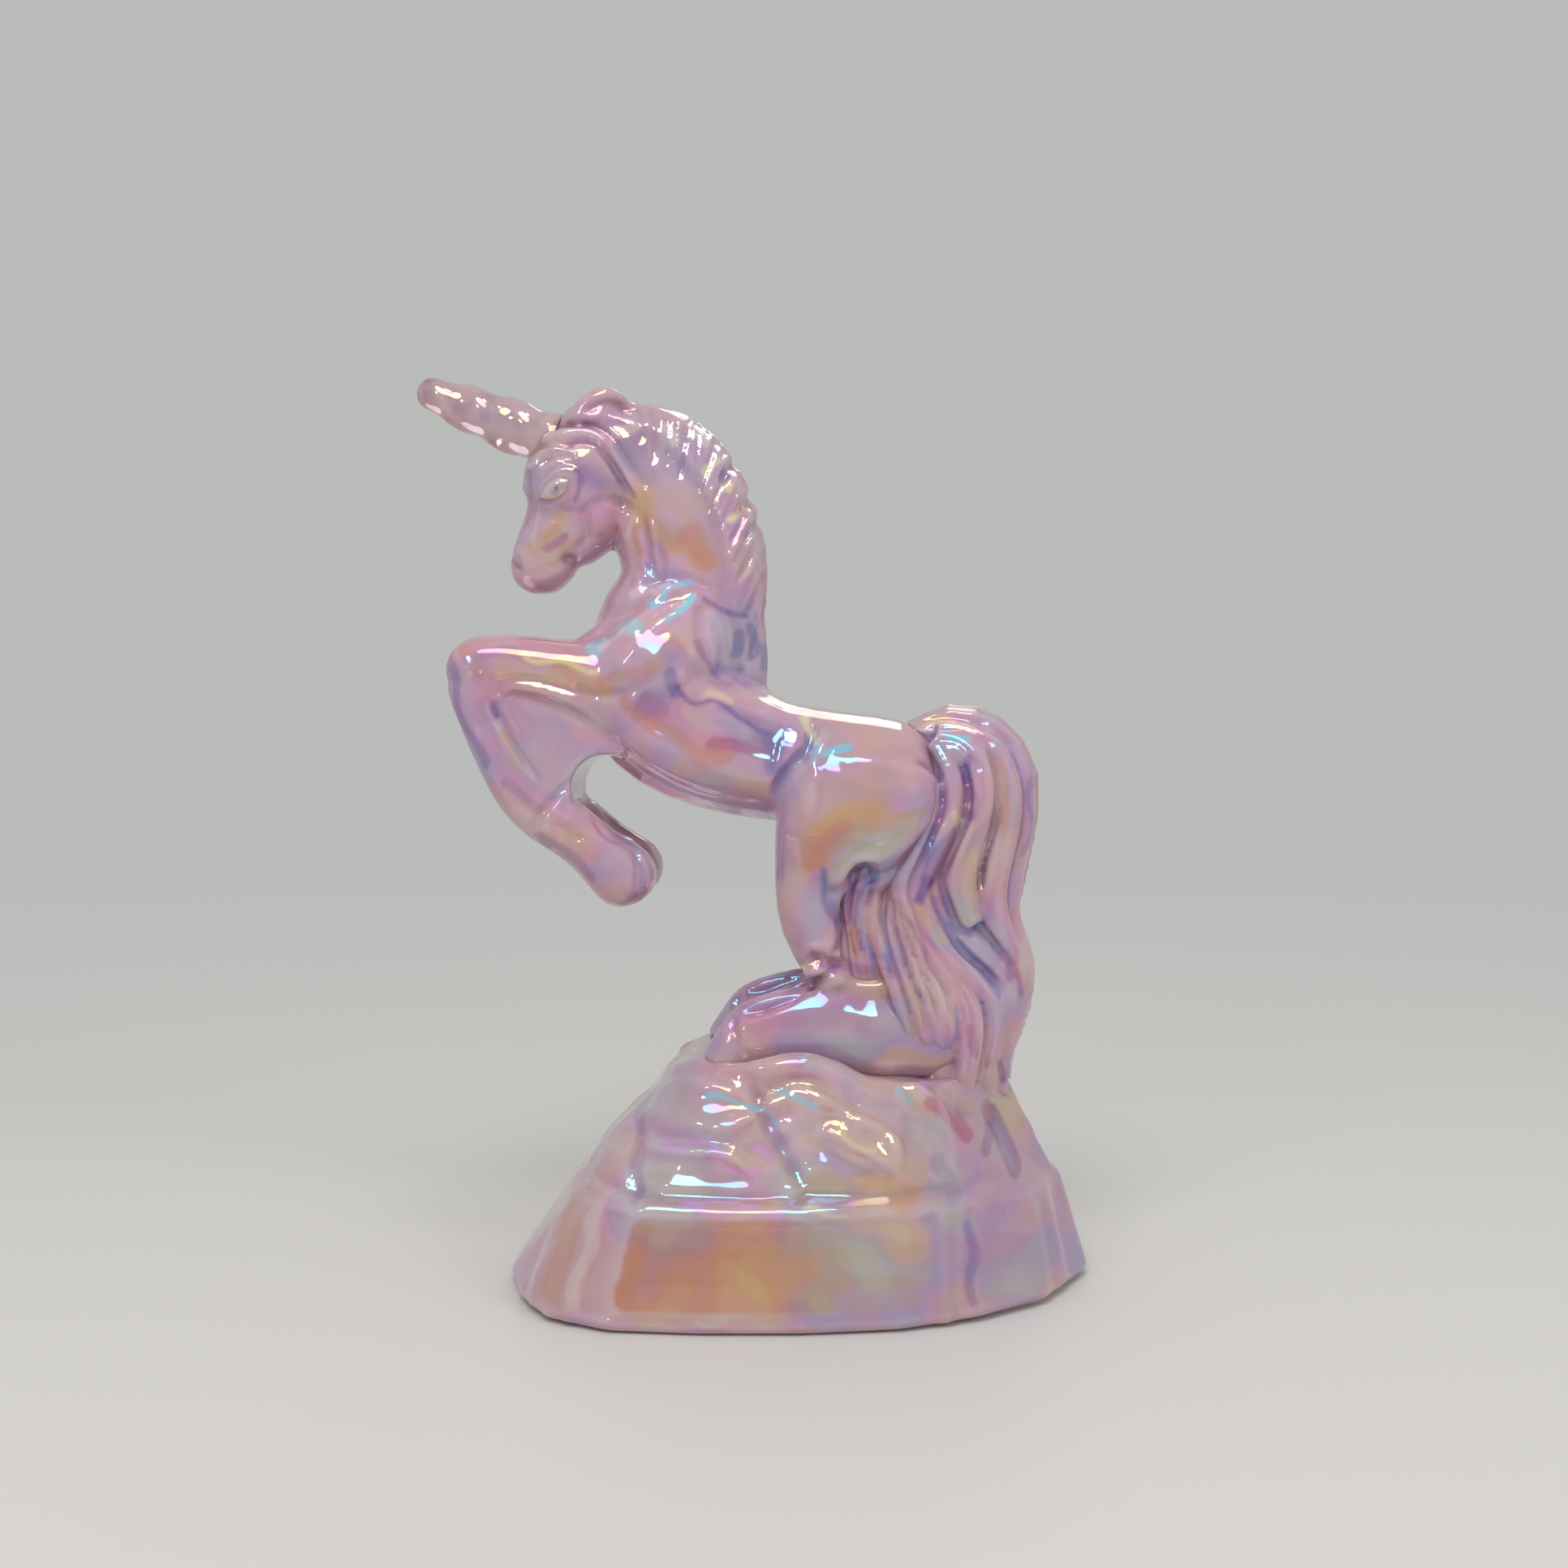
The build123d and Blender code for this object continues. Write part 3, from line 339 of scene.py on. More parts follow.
# Washes of colour: points along and up, width, colour and strength.
# Mauve and rose are the glass's own tints; salmon, amber, cream, lavender and sky are painted sheen
# in place of the film's iridescent reflections; violet along creases and edges is painted shade;
# cyan, gold, lilac and small clear dabs are painted highlights.
BODY_WASHES = [
    ([(-37, 113), (-36.8, 108), (-37.8, 104.4)], 1.9, "lavender", 0.75),
    ([(-38.6, 114), (-38.4, 108), (-39.6, 103)], 0.6, "violet", 0.5),
    ([(-37, 114.4), (-34, 115.6), (-30.6, 114.6)], 1.4, "clear", 0.6),
    ([(-29.4, 112.4), (-26, 112.2), (-24.4, 115)], 2.6, "lavender", 0.95),
    ([(-28.8, 111.4), (-26.4, 110.8)], 1.4, "violet", 0.35),
    ([(-35.8, 107.6), (-32, 107.4)], 1.3, "lavender", 0.7),
    ([(-28.6, 106.6), (-24, 106.4)], 2.4, "rose", 0.9),
    ([(-31, 105.2), (-28.4, 104)], 1, "sky", 0.4),
    ([(-22.6, 107.4), (-23, 104.4)], 0.8, "clear", 0.7),
    ([(-35, 100.4), (-32.2, 102.4)], 1.1, "cream", 0.7),
    ([(-38.8, 98.6), (-36, 97), (-32.8, 97.4)], 1, "rose", 0.6),
    ([(-39.7, 101), (-39, 99.8)], 0.5, "violet", 0.9),
    ([(-32.7, 101), (-31.8, 100.8)], 0.4, "violet", 0.8),
    ([(-36.6, 117.3), (-31, 117.7), (-28, 117.3)], 0.9, "clear", 0.8),
    ([(-36, 116), (-31, 116.2), (-28.6, 116.2)], 0.5, "violet", 0.5),
    ([(-27, 116.4), (-25, 114), (-22.6, 110.6)], 0.9, "rose", 0.7),
    ([(-22.4, 108.6), (-20.4, 105.4), (-17.4, 103)], 1.7, "salmon", 0.85),
    ([(-17.4, 103.4), (-14, 101.6)], 2.4, "salmon", 0.6),
    ([(-19.8, 105.4), (-16.4, 102.8)], 1.5, "amber", 0.45),
    ([(-14.4, 103.4), (-13.8, 100.4)], 2.1, "amber", 0.85),
    ([(-9.4, 103), (-8.6, 100.6)], 1.3, "salmon", 0.35),
    ([(-22.3, 104.6), (-21.9, 101)], 0.6, "amber", 0.8),
    ([(-19.6, 102.4), (-18.8, 98.4)], 0.8, "magenta", 0.6),
    ([(-21.6, 99.6), (-20.9, 98.6)], 0.4, "violet", 0.7),
    ([(-24, 119), (-18, 116.4), (-13, 112), (-9.6, 106)], 4.6, "lavender", 0.8),
    ([(-24.4, 117.6), (-22.4, 114.6), (-20.6, 112)], 1.5, "violet", 0.4),
    ([(-20, 110), (-16, 107.4)], 2.2, "cream", 0.35),
    ([(-7, 104), (-6.6, 97)], 2, "lavender", 0.55),
    ([(-12.6, 94.8), (-9.4, 93.6), (-7.2, 93)], 0.6, "violet", 0.85),
    ([(-12, 92.4), (-10.4, 87.6)], 1.7, "clear", 0.7),
    # Painted reflections: dark violet dabs on the withers
    ([(-9, 90.8), (-8.7, 88.2)], 0.8, "violet", 0.8),
    ([(-7.2, 91.4), (-6.6, 87.4)], 0.8, "violet", 0.8),
    ([(-5.4, 88.4), (-4.6, 85.6)], 0.7, "violet", 0.8),
    ([(-13.6, 89), (-12.8, 87), (-11.6, 85.4)], 0.6, "violet", 0.7),
    ([(-25, 93), (-18, 90.6)], 3, "clear", 0.4),
    ([(-33, 84.8), (-27, 83.2), (-22, 84.8), (-16.8, 88)], 1.5, "amber", 0.8),
    ([(-26, 82.4), (-22, 83)], 1, "salmon", 0.7),
    ([(-17, 86.4), (-13, 85), (-9, 84)], 2.2, "lavender", 0.8),
    ([(-8, 84), (-2, 81), (5, 79.4)], 2, "lavender", 0.5),
    ([(-43, 87.8), (-38, 87.2), (-32, 86)], 0.9, "violet", 0.5),
    ([(-44.8, 87.6), (-44, 85.4)], 1.3, "amber", 0.75),
    ([(-41, 85), (-37, 84.6), (-33, 83.4)], 1.1, "cream", 0.75),
    ([(-39, 82.6), (-33, 82.4), (-28, 80.6), (-25, 78.6)], 0.9, "rose", 0.7),
    ([(-36.6, 79.4), (-33, 76.6), (-31.4, 72.6)], 3.2, "rose", 0.45),
    ([(-37, 80.6), (-33, 80), (-30, 78)], 0.9, "clear", 0.5),
    ([(-47.6, 88), (-46.8, 82), (-45.4, 77.4), (-42.6, 73)], 0.8, "violet", 0.7),
    ([(-42.6, 81.4), (-41.4, 79)], 0.9, "magenta", 0.6),
    ([(-41.2, 81), (-40.6, 79.2)], 0.5, "violet", 0.7),
    ([(-40.4, 76), (-38.2, 72)], 1, "salmon", 0.7),
    ([(-39.4, 69.6), (-36.2, 67)], 1, "violet", 0.6),
    ([(-38.6, 65.6), (-35.4, 63.8)], 1.6, "clear", 0.6),
    ([(-35.4, 63), (-31.4, 60), (-29.2, 57.6)], 1, "violet", 0.7),
    ([(-31.6, 62.6), (-28, 61)], 1.2, "cream", 0.85),
    ([(-26.8, 61), (-24.4, 57)], 2.4, "rose", 0.6),
    ([(-26.8, 57), (-24.8, 55.4)], 0.9, "cream", 0.6),
    ([(-27, 65), (-24.6, 62.4), (-22.4, 60.4), (-21.8, 56), (-23.4, 53.4)], 0.5, "violet", 0.6),
    ([(-28, 79.6), (-22, 76), (-17, 73)], 1.7, "sky", 0.4),
    ([(-15.6, 71.8), (-9, 70.6), (-3.6, 70.4)], 1.4, "cream", 0.85),
    ([(-24, 72), (-16, 68.6), (-5, 66.8)], 1.4, "rose", 0.7),
    ([(-20.8, 80.6), (-15, 77.8), (-9, 75.8), (-3.4, 74.6)], 3.4, "rose", 0.85),
    ([(-9, 78.6), (-3, 76)], 2.4, "violet", 0.45),
    ([(-22.6, 80.6), (-19, 77.2), (-14.4, 74.4), (-10, 73.2)], 1.2, "amber", 0.8),
    ([(-20.6, 81.4), (-18.6, 80)], 1.4, "magenta", 0.5),
    ([(-14, 79.4), (-8.6, 77.4)], 1.7, "clear", 0.5),
    ([(-4.6, 76.6), (-3.2, 72.6)], 1.2, "violet", 0.65),
    ([(-18, 84.4), (-16.4, 81.6)], 0.8, "violet", 0.75),
    ([(-16.6, 82.6), (-14.4, 81), (-11.4, 81.6), (-9.6, 80.1), (-8, 78.4), (-4.6, 77)], 0.4, "violet", 0.85),
    ([(-12.4, 75.8), (-9, 74.6), (-5.6, 74.4)], 0.8, "magenta", 0.8),
    ([(1.4, 77), (-0.4, 73.6), (-3.6, 69.4)], 0.7, "violet", 0.7),
    ([(5, 76.8), (9.4, 76), (8, 70.4)], 4.4, "salmon", 0.5),
    ([(11.4, 73), (12, 68)], 2.6, "lavender", 0.4),
    ([(17.6, 73), (17.2, 67.4), (14.6, 63)], 1.5, "rose", 0.7),
    ([(0.4, 71.6), (0.6, 67.4)], 1.2, "clear", 0.6),
    ([(1.2, 59), (1.8, 62), (4.4, 64.8), (9.4, 66)], 2.1, "salmon", 0.9),
    ([(1.4, 59), (3, 61.6), (6.4, 63.2)], 1.6, "amber", 0.8),
    ([(1.6, 57.8), (2.8, 55.4)], 1.2, "rose", 0.8),
    ([(4.4, 58), (8.6, 60.8), (14.6, 63.8)], 1.9, "cream", 0.95),
    ([(10.8, 57.2), (13.4, 59), (16.4, 62.6)], 0.9, "rose", 0.8),
    ([(3.6, 60.2), (7, 62.9), (11, 64.6), (16, 66.2)], 0.5, "salmon", 0.8),
    ([(-2.9, 65), (-2.9, 59)], 1, "sky", 0.55),
    ([(-0.8, 56), (2.6, 49.4)], 2.3, "clear", 0.65),
    ([(5, 45.2), (0, 41.8), (-4, 40.1), (-8, 39.2)], 0.7, "violet", 0.65),
    ([(-10, 38.6), (-12.8, 34)], 1.5, "lavender", 0.7),
    ([(-10.6, 40), (-13.6, 34)], 0.7, "violet", 0.5),
    ([(-8, 36.4), (-7.4, 33.6)], 1, "cream", 0.4),
    ([(-7, 37.6), (0, 38.2), (8, 39.4)], 2.6, "rose", 0.9),
    ([(3.6, 43.6), (8.5, 42), (13, 43)], 1.3, "cream", 0.8),
    ([(8.6, 36.6), (11.6, 36.2)], 1.2, "magenta", 0.4),
    ([(5, 34.6), (12, 33.4), (18, 33)], 1.3, "cream", 0.7),
    # Painted highlights in cyan, lilac, gold and clear on the shoulders, forearm, flank, back, mane, ear and
    # pastern
    ([(-22.4, 95.4), (-20, 96.6), (-18, 97)], 0.8, "clear", 0.8),
    ([(-20.4, 93.8), (-18.4, 95), (-17.6, 96.6)], 0.8, "lilac_highlight", 0.6),
    ([(-20.4, 94.5), (-18.6, 95.5), (-17.7, 97.2)], 0.4, "cyan_highlight", 0.95),
    ([(-16.8, 97), (-14.4, 96.7), (-12.2, 95.6)], 0.6, "lilac_highlight", 0.7),
    ([(-16.8, 97.1), (-14.6, 96.9)], 0.35, "cyan_highlight", 0.95),
    ([(-20, 90.4), (-17.2, 92.2), (-14.2, 94.6)], 0.9, "lilac_highlight", 0.6),
    ([(-18, 92), (-16.2, 93.3), (-14.4, 94.9)], 0.5, "cyan_highlight", 0.95),
    ([(-27.6, 88.4), (-24.8, 90.4), (-22, 91)], 1.2, "cyan_highlight", 0.7),
    ([(-26.4, 88.8), (-24, 90.2)], 0.6, "clear", 0.9),
    ([(-37, 87.2), (-32, 86), (-28, 85.4)], 0.5, "gold_highlight", 0.8),
    ([(3.4, 74.6), (6, 74.4)], 0.6, "cyan_highlight", 0.8),
    ([(0.9, 78.6), (1.4, 76)], 0.7, "gold_highlight", 0.8),
    ([(1.6, 75.4), (2, 73.8)], 0.5, "cyan_highlight", 0.7),
    ([(-12.4, 82.8), (-10.6, 81.8), (-9, 80.6)], 0.4, "gold_highlight", 0.6),
    ([(-18.6, 119), (-17.7, 117)], 0.7, "clear", 0.9),
    ([(-14.8, 118), (-13.4, 116.2)], 0.6, "clear", 0.9),
    ([(-11.4, 114.2), (-12.6, 112)], 0.6, "gold_highlight", 0.8),
    ([(-9.6, 111.6), (-10.2, 110.8)], 0.6, "gold_highlight", 0.8),
    ([(-8.6, 108), (-9.4, 106.6)], 0.55, "gold_highlight", 0.9),
    ([(-8.8, 103.6), (-9.6, 103.2)], 0.5, "lilac_highlight", 0.9),
    ([(-7.4, 99.3), (-8.2, 98.2)], 0.5, "clear", 0.9),
    ([(-25.6, 118.6), (-23.2, 118.4)], 0.9, "clear", 0.8),
    ([(-5.4, 41.6), (-1.4, 43.2), (1, 44.6)], 0.5, "gold_highlight", 0.8),
]
TAIL_WASHES = [
    ([(17, 76.6), (20, 77.4), (24, 78)], 2.4, "clear", 0.5),
    ([(18.4, 75), (19.4, 70.5), (18.8, 66), (16.6, 61.4)], 0.7, "violet", 0.6),
    ([(22.4, 73), (23.4, 68.6), (22.6, 65)], 0.7, "violet", 0.75),
    ([(22.4, 65), (20.4, 62.4), (18, 60.4), (16.7, 57)], 1.2, "violet", 0.75),
    ([(16.7, 57), (16.4, 53.8)], 0.8, "violet", 0.9),
    ([(26, 65.6), (24.4, 62), (23.2, 60)], 1.1, "violet", 0.65),
    ([(20.6, 71), (20.6, 67)], 1.2, "rose", 0.6),
    ([(26, 73.6), (27.6, 69), (27, 65.4)], 1.5, "salmon", 0.6),
    ([(29.6, 66.4), (29.9, 62.8)], 0.9, "salmon", 0.65),
    ([(28.4, 74), (29.4, 69), (28.8, 64.6)], 0.7, "sky", 0.6),
    ([(31.8, 73), (32.1, 66), (31.2, 60.4)], 0.6, "violet", 0.65),
    ([(27.6, 62.4), (25, 58.4)], 1.5, "clear", 0.6),
    ([(23.4, 58.6), (22.6, 54.6), (23.4, 51.2)], 2.1, "cream", 0.95),
    ([(27.8, 58.4), (26.3, 54), (26.6, 49.4)], 1.2, "rose", 0.85),
    ([(13.2, 58.8), (14, 55.6)], 1.6, "rose", 0.85),
    ([(18.4, 54.6), (20, 51.4), (22, 49.5), (25, 50.4)], 0.6, "violet", 0.75),
    ([(16.4, 52.6), (18.8, 49.2)], 0.9, "cream", 0.85),
    ([(15.6, 50.6), (18, 46.6), (21.4, 43)], 1.1, "rose", 0.9),
    ([(22, 49), (25, 46.4), (28, 44.4)], 1.6, "lavender", 0.7),
    ([(20, 48.4), (24, 44.9), (27, 41.2)], 0.5, "sky", 0.7),
    ([(28.4, 47.6), (29.4, 43.8)], 0.8, "violet", 0.55),
    ([(30.6, 46.4), (31, 42.6)], 0.8, "clear", 0.6),
    ([(25.6, 38.6), (25.2, 33)], 1.7, "clear", 0.5),
    ([(12.6, 51), (14.4, 44.4), (17, 38.6)], 1.7, "lavender", 0.55),
    ([(14.4, 41.4), (15.4, 35.4)], 1.5, "cream", 0.8),
    ([(12.2, 53.5), (12.7, 50), (14.2, 45.6), (16, 41)], 0.4, "violet", 0.45),
    ([(13.4, 53), (15.2, 50), (17.4, 46), (19.6, 42)], 0.4, "violet", 0.5),
    ([(11.4, 53), (11.2, 50), (12.4, 45.5)], 0.4, "sky", 0.7),
    # Painted highlights on the tail
    ([(17.6, 77.4), (20.6, 78.4), (24, 77.8)], 0.6, "gold_highlight", 0.7),
    ([(20.4, 76.8), (23, 75.8)], 0.5, "cyan_highlight", 0.8),
    ([(20.2, 66), (21.4, 64.4)], 0.5, "gold_highlight", 0.7),
]
BASE_WASHES = [
    ([(-30.4, 12), (-33, 4)], 1.6, "amber", 0.5),
    ([(-26.4, 15), (-30, 2)], 0.9, "clear", 0.8),
    ([(17, 13), (18.6, 2)], 1.6, "lavender", 0.7),
    ([(22, 13), (22.4, 3)], 0.8, "violet", 0.6),
    ([(24, 9), (31, 7)], 3.2, "violet", 0.35),
    ([(-37, 9), (-38.4, 5)], 3.4, "lavender", 0.5),
    ([(36, 10), (38, 5)], 3, "lavender", 0.5),
    ([(-36, 0.6), (-12, 0.6), (14, 0.8), (32, 1.4)], 1.1, "rose", 0.7),
    ([(-24, 26), (-30, 18)], 3.4, "lavender", 0.5),
    ([(-21, 29), (-22, 22), (-21.6, 16)], 0.8, "violet", 0.4),
    ([(-16, 28), (-11, 26)], 2.8, "cream", 0.6),
    ([(-8, 24.6), (-4, 22)], 1.5, "violet", 0.4),
    ([(-14, 20), (-7, 18.4)], 2.2, "rose", 0.5),
    ([(1, 17.4), (8, 18.6), (14, 17)], 1.7, "salmon", 0.8),
    ([(3, 21), (11, 19.6)], 0.9, "sky", 0.5),
    ([(4, 29), (12, 26)], 3, "clear", 0.4),
    ([(18.4, 20), (19.6, 16)], 1.3, "violet", 0.5),
    ([(20, 23), (23, 18)], 1.3, "rose", 0.6),
    ([(-3.4, 34.2), (-0.6, 33.6)], 1, "magenta", 0.5),
    ([(5, 32.6), (12, 31), (19, 32)], 1.2, "cream", 0.6),
    # Painted highlights on the rock and along the ledge
    ([(-12, 28.4), (-8, 28.2), (-5, 26.6), (-3.8, 24.6)], 0.5, "cyan_highlight", 0.8),
    ([(-2.8, 28.8), (0, 29), (1.8, 27.4)], 0.45, "cyan_highlight", 0.8),
    ([(4, 25.2), (8, 23), (10, 22)], 0.45, "gold_highlight", 0.7),
    ([(-18, 22.6), (-13, 23), (-9.4, 22.2)], 0.5, "lilac_highlight", 0.8),
    ([(-10, 20.6), (-6, 19.4)], 0.5, "lilac_highlight", 0.7),
    ([(-5.6, 22.4), (-4, 21)], 0.5, "lilac_highlight", 0.8),
    ([(-15, 15.8), (-8, 15.4), (-2, 15.4)], 0.45, "lilac_highlight", 0.7),
    ([(1, 15.4), (6, 15.3)], 0.45, "gold_highlight", 0.8),
    ([(13.4, 28.8), (14.8, 27.6)], 0.5, "cyan_highlight", 0.7),
    ([(16, 30.2), (16.8, 29.6)], 0.5, "lilac_highlight", 0.8),
]
HORN_WASHES = [
    ([(-36, 119), (-50, 124)], 6, "clear", 0.7),
    ([(-51.4, 125.4), (-48, 124.6), (-44.6, 124.2), (-41, 122.6), (-36, 120.8)], 1.2, "magenta", 0.45),
    ([(-48.8, 124), (-47.5, 122.2)], 0.8, "violet", 0.4),
    ([(-47.4, 121.9), (-45.4, 122.3), (-43.6, 123.9)], 0.8, "violet", 0.4),
    ([(-43.3, 119.7), (-43.2, 122.4)], 0.8, "violet", 0.35),
    ([(-43, 119.9), (-40, 120.8), (-38.4, 119.8), (-36.6, 119.1)], 0.8, "violet", 0.4),
    ([(-52.4, 125.4), (-52.2, 123.6), (-50.8, 122)], 0.8, "violet", 0.45),
]

# Washes that keep their drawn outline: on the face, in the hollow under the haunch, at the tail's foot,
# on the facets of the foot and on the eyes. Violet in the hollow and the clefts is painted shade, and the
# warm panels of the foot are painted film sheen.
FACE_WASHES = [
    ([(-37.6, 113), (-37.4, 109.4)], 0.5, "violet", 0.65),
    ([(-36.4, 112.8), (-35.4, 113.8), (-34.2, 114.4)], 0.5, "violet", 0.35),
    ([(-35.9, 108.9), (-35.3, 110.2), (-34.2, 111.4), (-33.1, 112.3), (-31.6, 112.7), (-30.6, 112.5)],
      0.35, "violet", 0.7),
    ([(-30.6, 112.6), (-30.1, 111.4), (-30.3, 110), (-30.8, 108.6)], 0.35, "violet", 0.75),
    ([(-35.6, 108.6), (-34.2, 108.3), (-33, 108), (-31.6, 108.6)], 0.35, "violet", 0.4),
    ([(-32.6, 107.7), (-31.4, 107.4)], 0.35, "violet", 0.45),
    ([(-37.4, 101.8), (-35, 103.8), (-32.9, 105.9)], 0.9, "salmon", 0.75),
    ([(-34.8, 103.4), (-33.4, 104.8)], 0.8, "amber", 0.85),
    ([(-35, 102.2), (-33.8, 102.8), (-32.4, 103.8)], 0.6, "magenta", 0.95),
    ([(-33.8, 102.9), (-32.4, 103.9)], 0.45, "violet", 0.4),
]
HOLLOW_WASHES = [
    ([(3, 58.4), (3.1, 55), (3.6, 53), (5, 51), (5.5, 49.4), (4.9, 47.6)], 0.5, "violet", 0.7),
    ([(4.4, 56), (4.6, 53.4), (5.4, 50.6)], 0.6, "sky", 0.55),
    ([(5.6, 56), (5.5, 53), (5.9, 51)], 0.4, "lavender", 0.8),
    ([(9.2, 58), (7.2, 56.4), (6.4, 53.6), (6.3, 51)], 0.5, "magenta", 0.95),
    ([(7.8, 55.4), (7.1, 53), (7.3, 50.4), (8.2, 47.6)], 0.5, "violet", 0.85),
    ([(7, 50), (7.2, 48.4), (7.6, 46.6)], 0.6, "amber", 0.9),
    ([(9.3, 57), (8.2, 54), (8.4, 50), (9.6, 46.6), (10.2, 43.6)], 0.5, "sky", 0.9),
    ([(10.2, 57.8), (9.8, 56), (9, 53.6)], 0.5, "violet", 0.75),
    ([(10.8, 53.4), (10.6, 50.4), (11.4, 46.4)], 0.5, "clear", 0.7),
    ([(11.2, 46.6), (12, 44.8)], 0.5, "violet", 0.6),
    ([(1.4, 46.6), (3.4, 45.8), (6, 45.4), (9, 44.4), (12, 44.2)], 0.9, "violet", 0.45),
    ([(4.2, 46), (6.6, 45), (8.6, 44.4)], 0.8, "magenta", 0.55),
    ([(1.6, 46.4), (2.6, 45.2)], 0.5, "violet", 0.6),
]
FOOT_WASHES = [
    ([(20.9, 39.6), (21.1, 37.2), (20.7, 35.2), (19.2, 34), (18, 33.5)], 0.45, "sky", 0.75),
    ([(21, 38), (20.9, 35.6)], 0.35, "violet", 0.45),
    ([(23, 37), (23.2, 35), (23.5, 33.4)], 0.8, "magenta", 0.75),
    ([(25.9, 42.9), (27.2, 41.4)], 0.5, "sky", 0.7),
    ([(29.7, 44), (30.1, 42.6), (30.5, 40.8)], 0.5, "magenta", 0.8),
    ([(27.4, 31.4), (28, 29.8), (28.2, 28.4)], 0.6, "violet", 0.85),
    ([(26.2, 31.8), (25.6, 31.2)], 0.4, "magenta", 0.5),
    ([(25.4, 25.6), (26.2, 24), (25, 20.6)], 0.9, "violet", 0.75),
    ([(26.2, 24.4), (28, 20.6), (29.2, 17.8)], 1.3, "violet", 0.8),
    ([(25.7, 24.9), (26.2, 23.8)], 0.7, "magenta", 0.9),
    ([(27.4, 22.6), (29, 18.6)], 0.6, "sky", 0.35),
    ([(17.2, 27.6), (19.6, 26), (22.4, 22.8)], 1, "magenta", 0.85),
    ([(18.6, 27.4), (20.4, 26)], 0.5, "rose", 0.9),
]
PANEL_WASHES = [
    ([(-19.6, 12.2), (-10, 12.2), (0, 12.2)], 2.2, "amber", 0.85),
    ([(-20.8, 8.6), (-10, 8.6), (1, 8.6)], 2.2, "amber", 0.95),
    ([(-22, 5), (-10, 5), (2, 5)], 2.2, "amber", 0.9),
    ([(-20.7, 12.9), (-22.7, 4.2)], 1.4, "amber", 0.9),
    ([(3, 11.8), (14.4, 11.8)], 2.4, "cream", 0.8),
    ([(4, 8), (14.4, 8)], 2.4, "cream", 0.8),
    ([(3, 5), (13.6, 5)], 2.2, "salmon", 0.6),
    ([(-5, 8), (3, 8)], 3.6, "salmon", 0.7),
    ([(-30.2, 12.6), (-31.2, 9), (-32.8, 4)], 1.5, "amber", 0.55),
]
EYE_WASHES = [
    ([(-36, 108.6), (-31, 111.6)], 3, "clear", 0.9),
    ([(-36, 108.6), (-31, 111.6)], 3, "rose", 0.35),
    ([(-32.8, 110.5), (-31.2, 111.2)], 0.7, "lavender", 0.95),
    ([(-33, 110.3), (-31.6, 110.4)], 0.35, "violet", 0.6),
    ([(-33.6, 109.6), (-33.3, 109.9)], 0.5, "violet", 1),
]


def color_setting(name, description, default):
    """A setting for a colour."""
    return FloatVectorProperty(
        name=name, description=description, subtype="COLOR", size=3, min=0, max=1, default=default)


def length_setting(name, description, default, least=0.0):
    """A setting for a length in metres."""
    return FloatProperty(
        name=name, description=description, subtype="DISTANCE", unit="LENGTH", default=default, min=least)


def film_setting(name, description, default):
    """A setting for a thickness of the film in nanometres."""
    return FloatProperty(name=name, description=description, default=default, min=0.0, max=1000.0)


def share_setting(name, description, default):
    """A setting for a share between 0 and 1."""
    return FloatProperty(
        name=name, description=description, subtype="FACTOR", default=default, min=0.0, max=1.0)


def power_setting(name, description, default):
    """A setting for a lamp's power in watts."""
    return FloatProperty(name=name, description=description, unit="POWER", default=default, min=0.0)


def count_setting(name, description, default):
    """A setting for a number of passes."""
    return IntProperty(name=name, description=description, default=default, min=0)


class GlassSettings(bpy.types.PropertyGroup):
    """Colours and finish of the glass, with its painted sheen, highlights and shade."""

    mauve: color_setting("Mauve", "Tint of the glass where nothing else shows", (0.658, 0.423, 0.515))
    # Lavender, salmon, amber, cream and sky are painted sheen in place of the film's iridescent reflections.
    lavender: color_setting("Lavender", "Cool tint of the film", (0.491, 0.342, 0.527))
    rose: color_setting("Rose", "Pink of the glass itself", (0.644, 0.323, 0.456))
    salmon: color_setting("Salmon", "Warm patches of the film", (0.644, 0.402, 0.195))
    amber: color_setting("Amber", "Deepest of the warm patches", (0.631, 0.287, 0.175))
    cream: color_setting("Cream", "Pale patches of the film", (0.617, 0.468, 0.342))
    # Violet is painted shade in creases and along dark edges, and the dark of small marks such as the pupil.
    violet: color_setting("Violet", "Dark edges and creases", (0.209, 0.107, 0.352))
    sky: color_setting("Sky", "Blue gleam of the film", (0.342, 0.332, 0.658))
    magenta: color_setting("Magenta", "Deep pink in the hollows", (0.468, 0.138, 0.287))
    # Clear is the thin glass, and also a painted highlight on small dabs; proud ridges turn paler towards it.
    clear: color_setting("Clear", "Thin glass, as in the horn", (0.761, 0.617, 0.644))
    # Painted highlights: the next three colours are gleams painted where a lamp catches the film.
    cyan_highlight: color_setting("Cyan", "Bright blue gleam where a lamp catches the film", (0.156, 0.791, 1.000))
    gold_highlight: color_setting("Gold", "Yellow gleam where a lamp catches the film", (0.973, 0.855, 0.434))
    lilac_highlight: color_setting("Lilac", "Pink gleam beside the blue one", (0.839, 0.413, 0.905))
    film: film_setting("Film", "Mean thickness of the coat in nanometres", 145.0)
    film_spread: film_setting("Film spread", "How far the thickness varies either way, in nanometres", 45.0)
    film_loss: film_setting("Film loss", "How much thinner the coat is on the head, in nanometres", 55.0)
    clearness: share_setting("Clearness", "Share of light that passes into the glass", 0.45)
    horn_clearness: share_setting("Horn clearness", "The same share for the horn", 0.7)


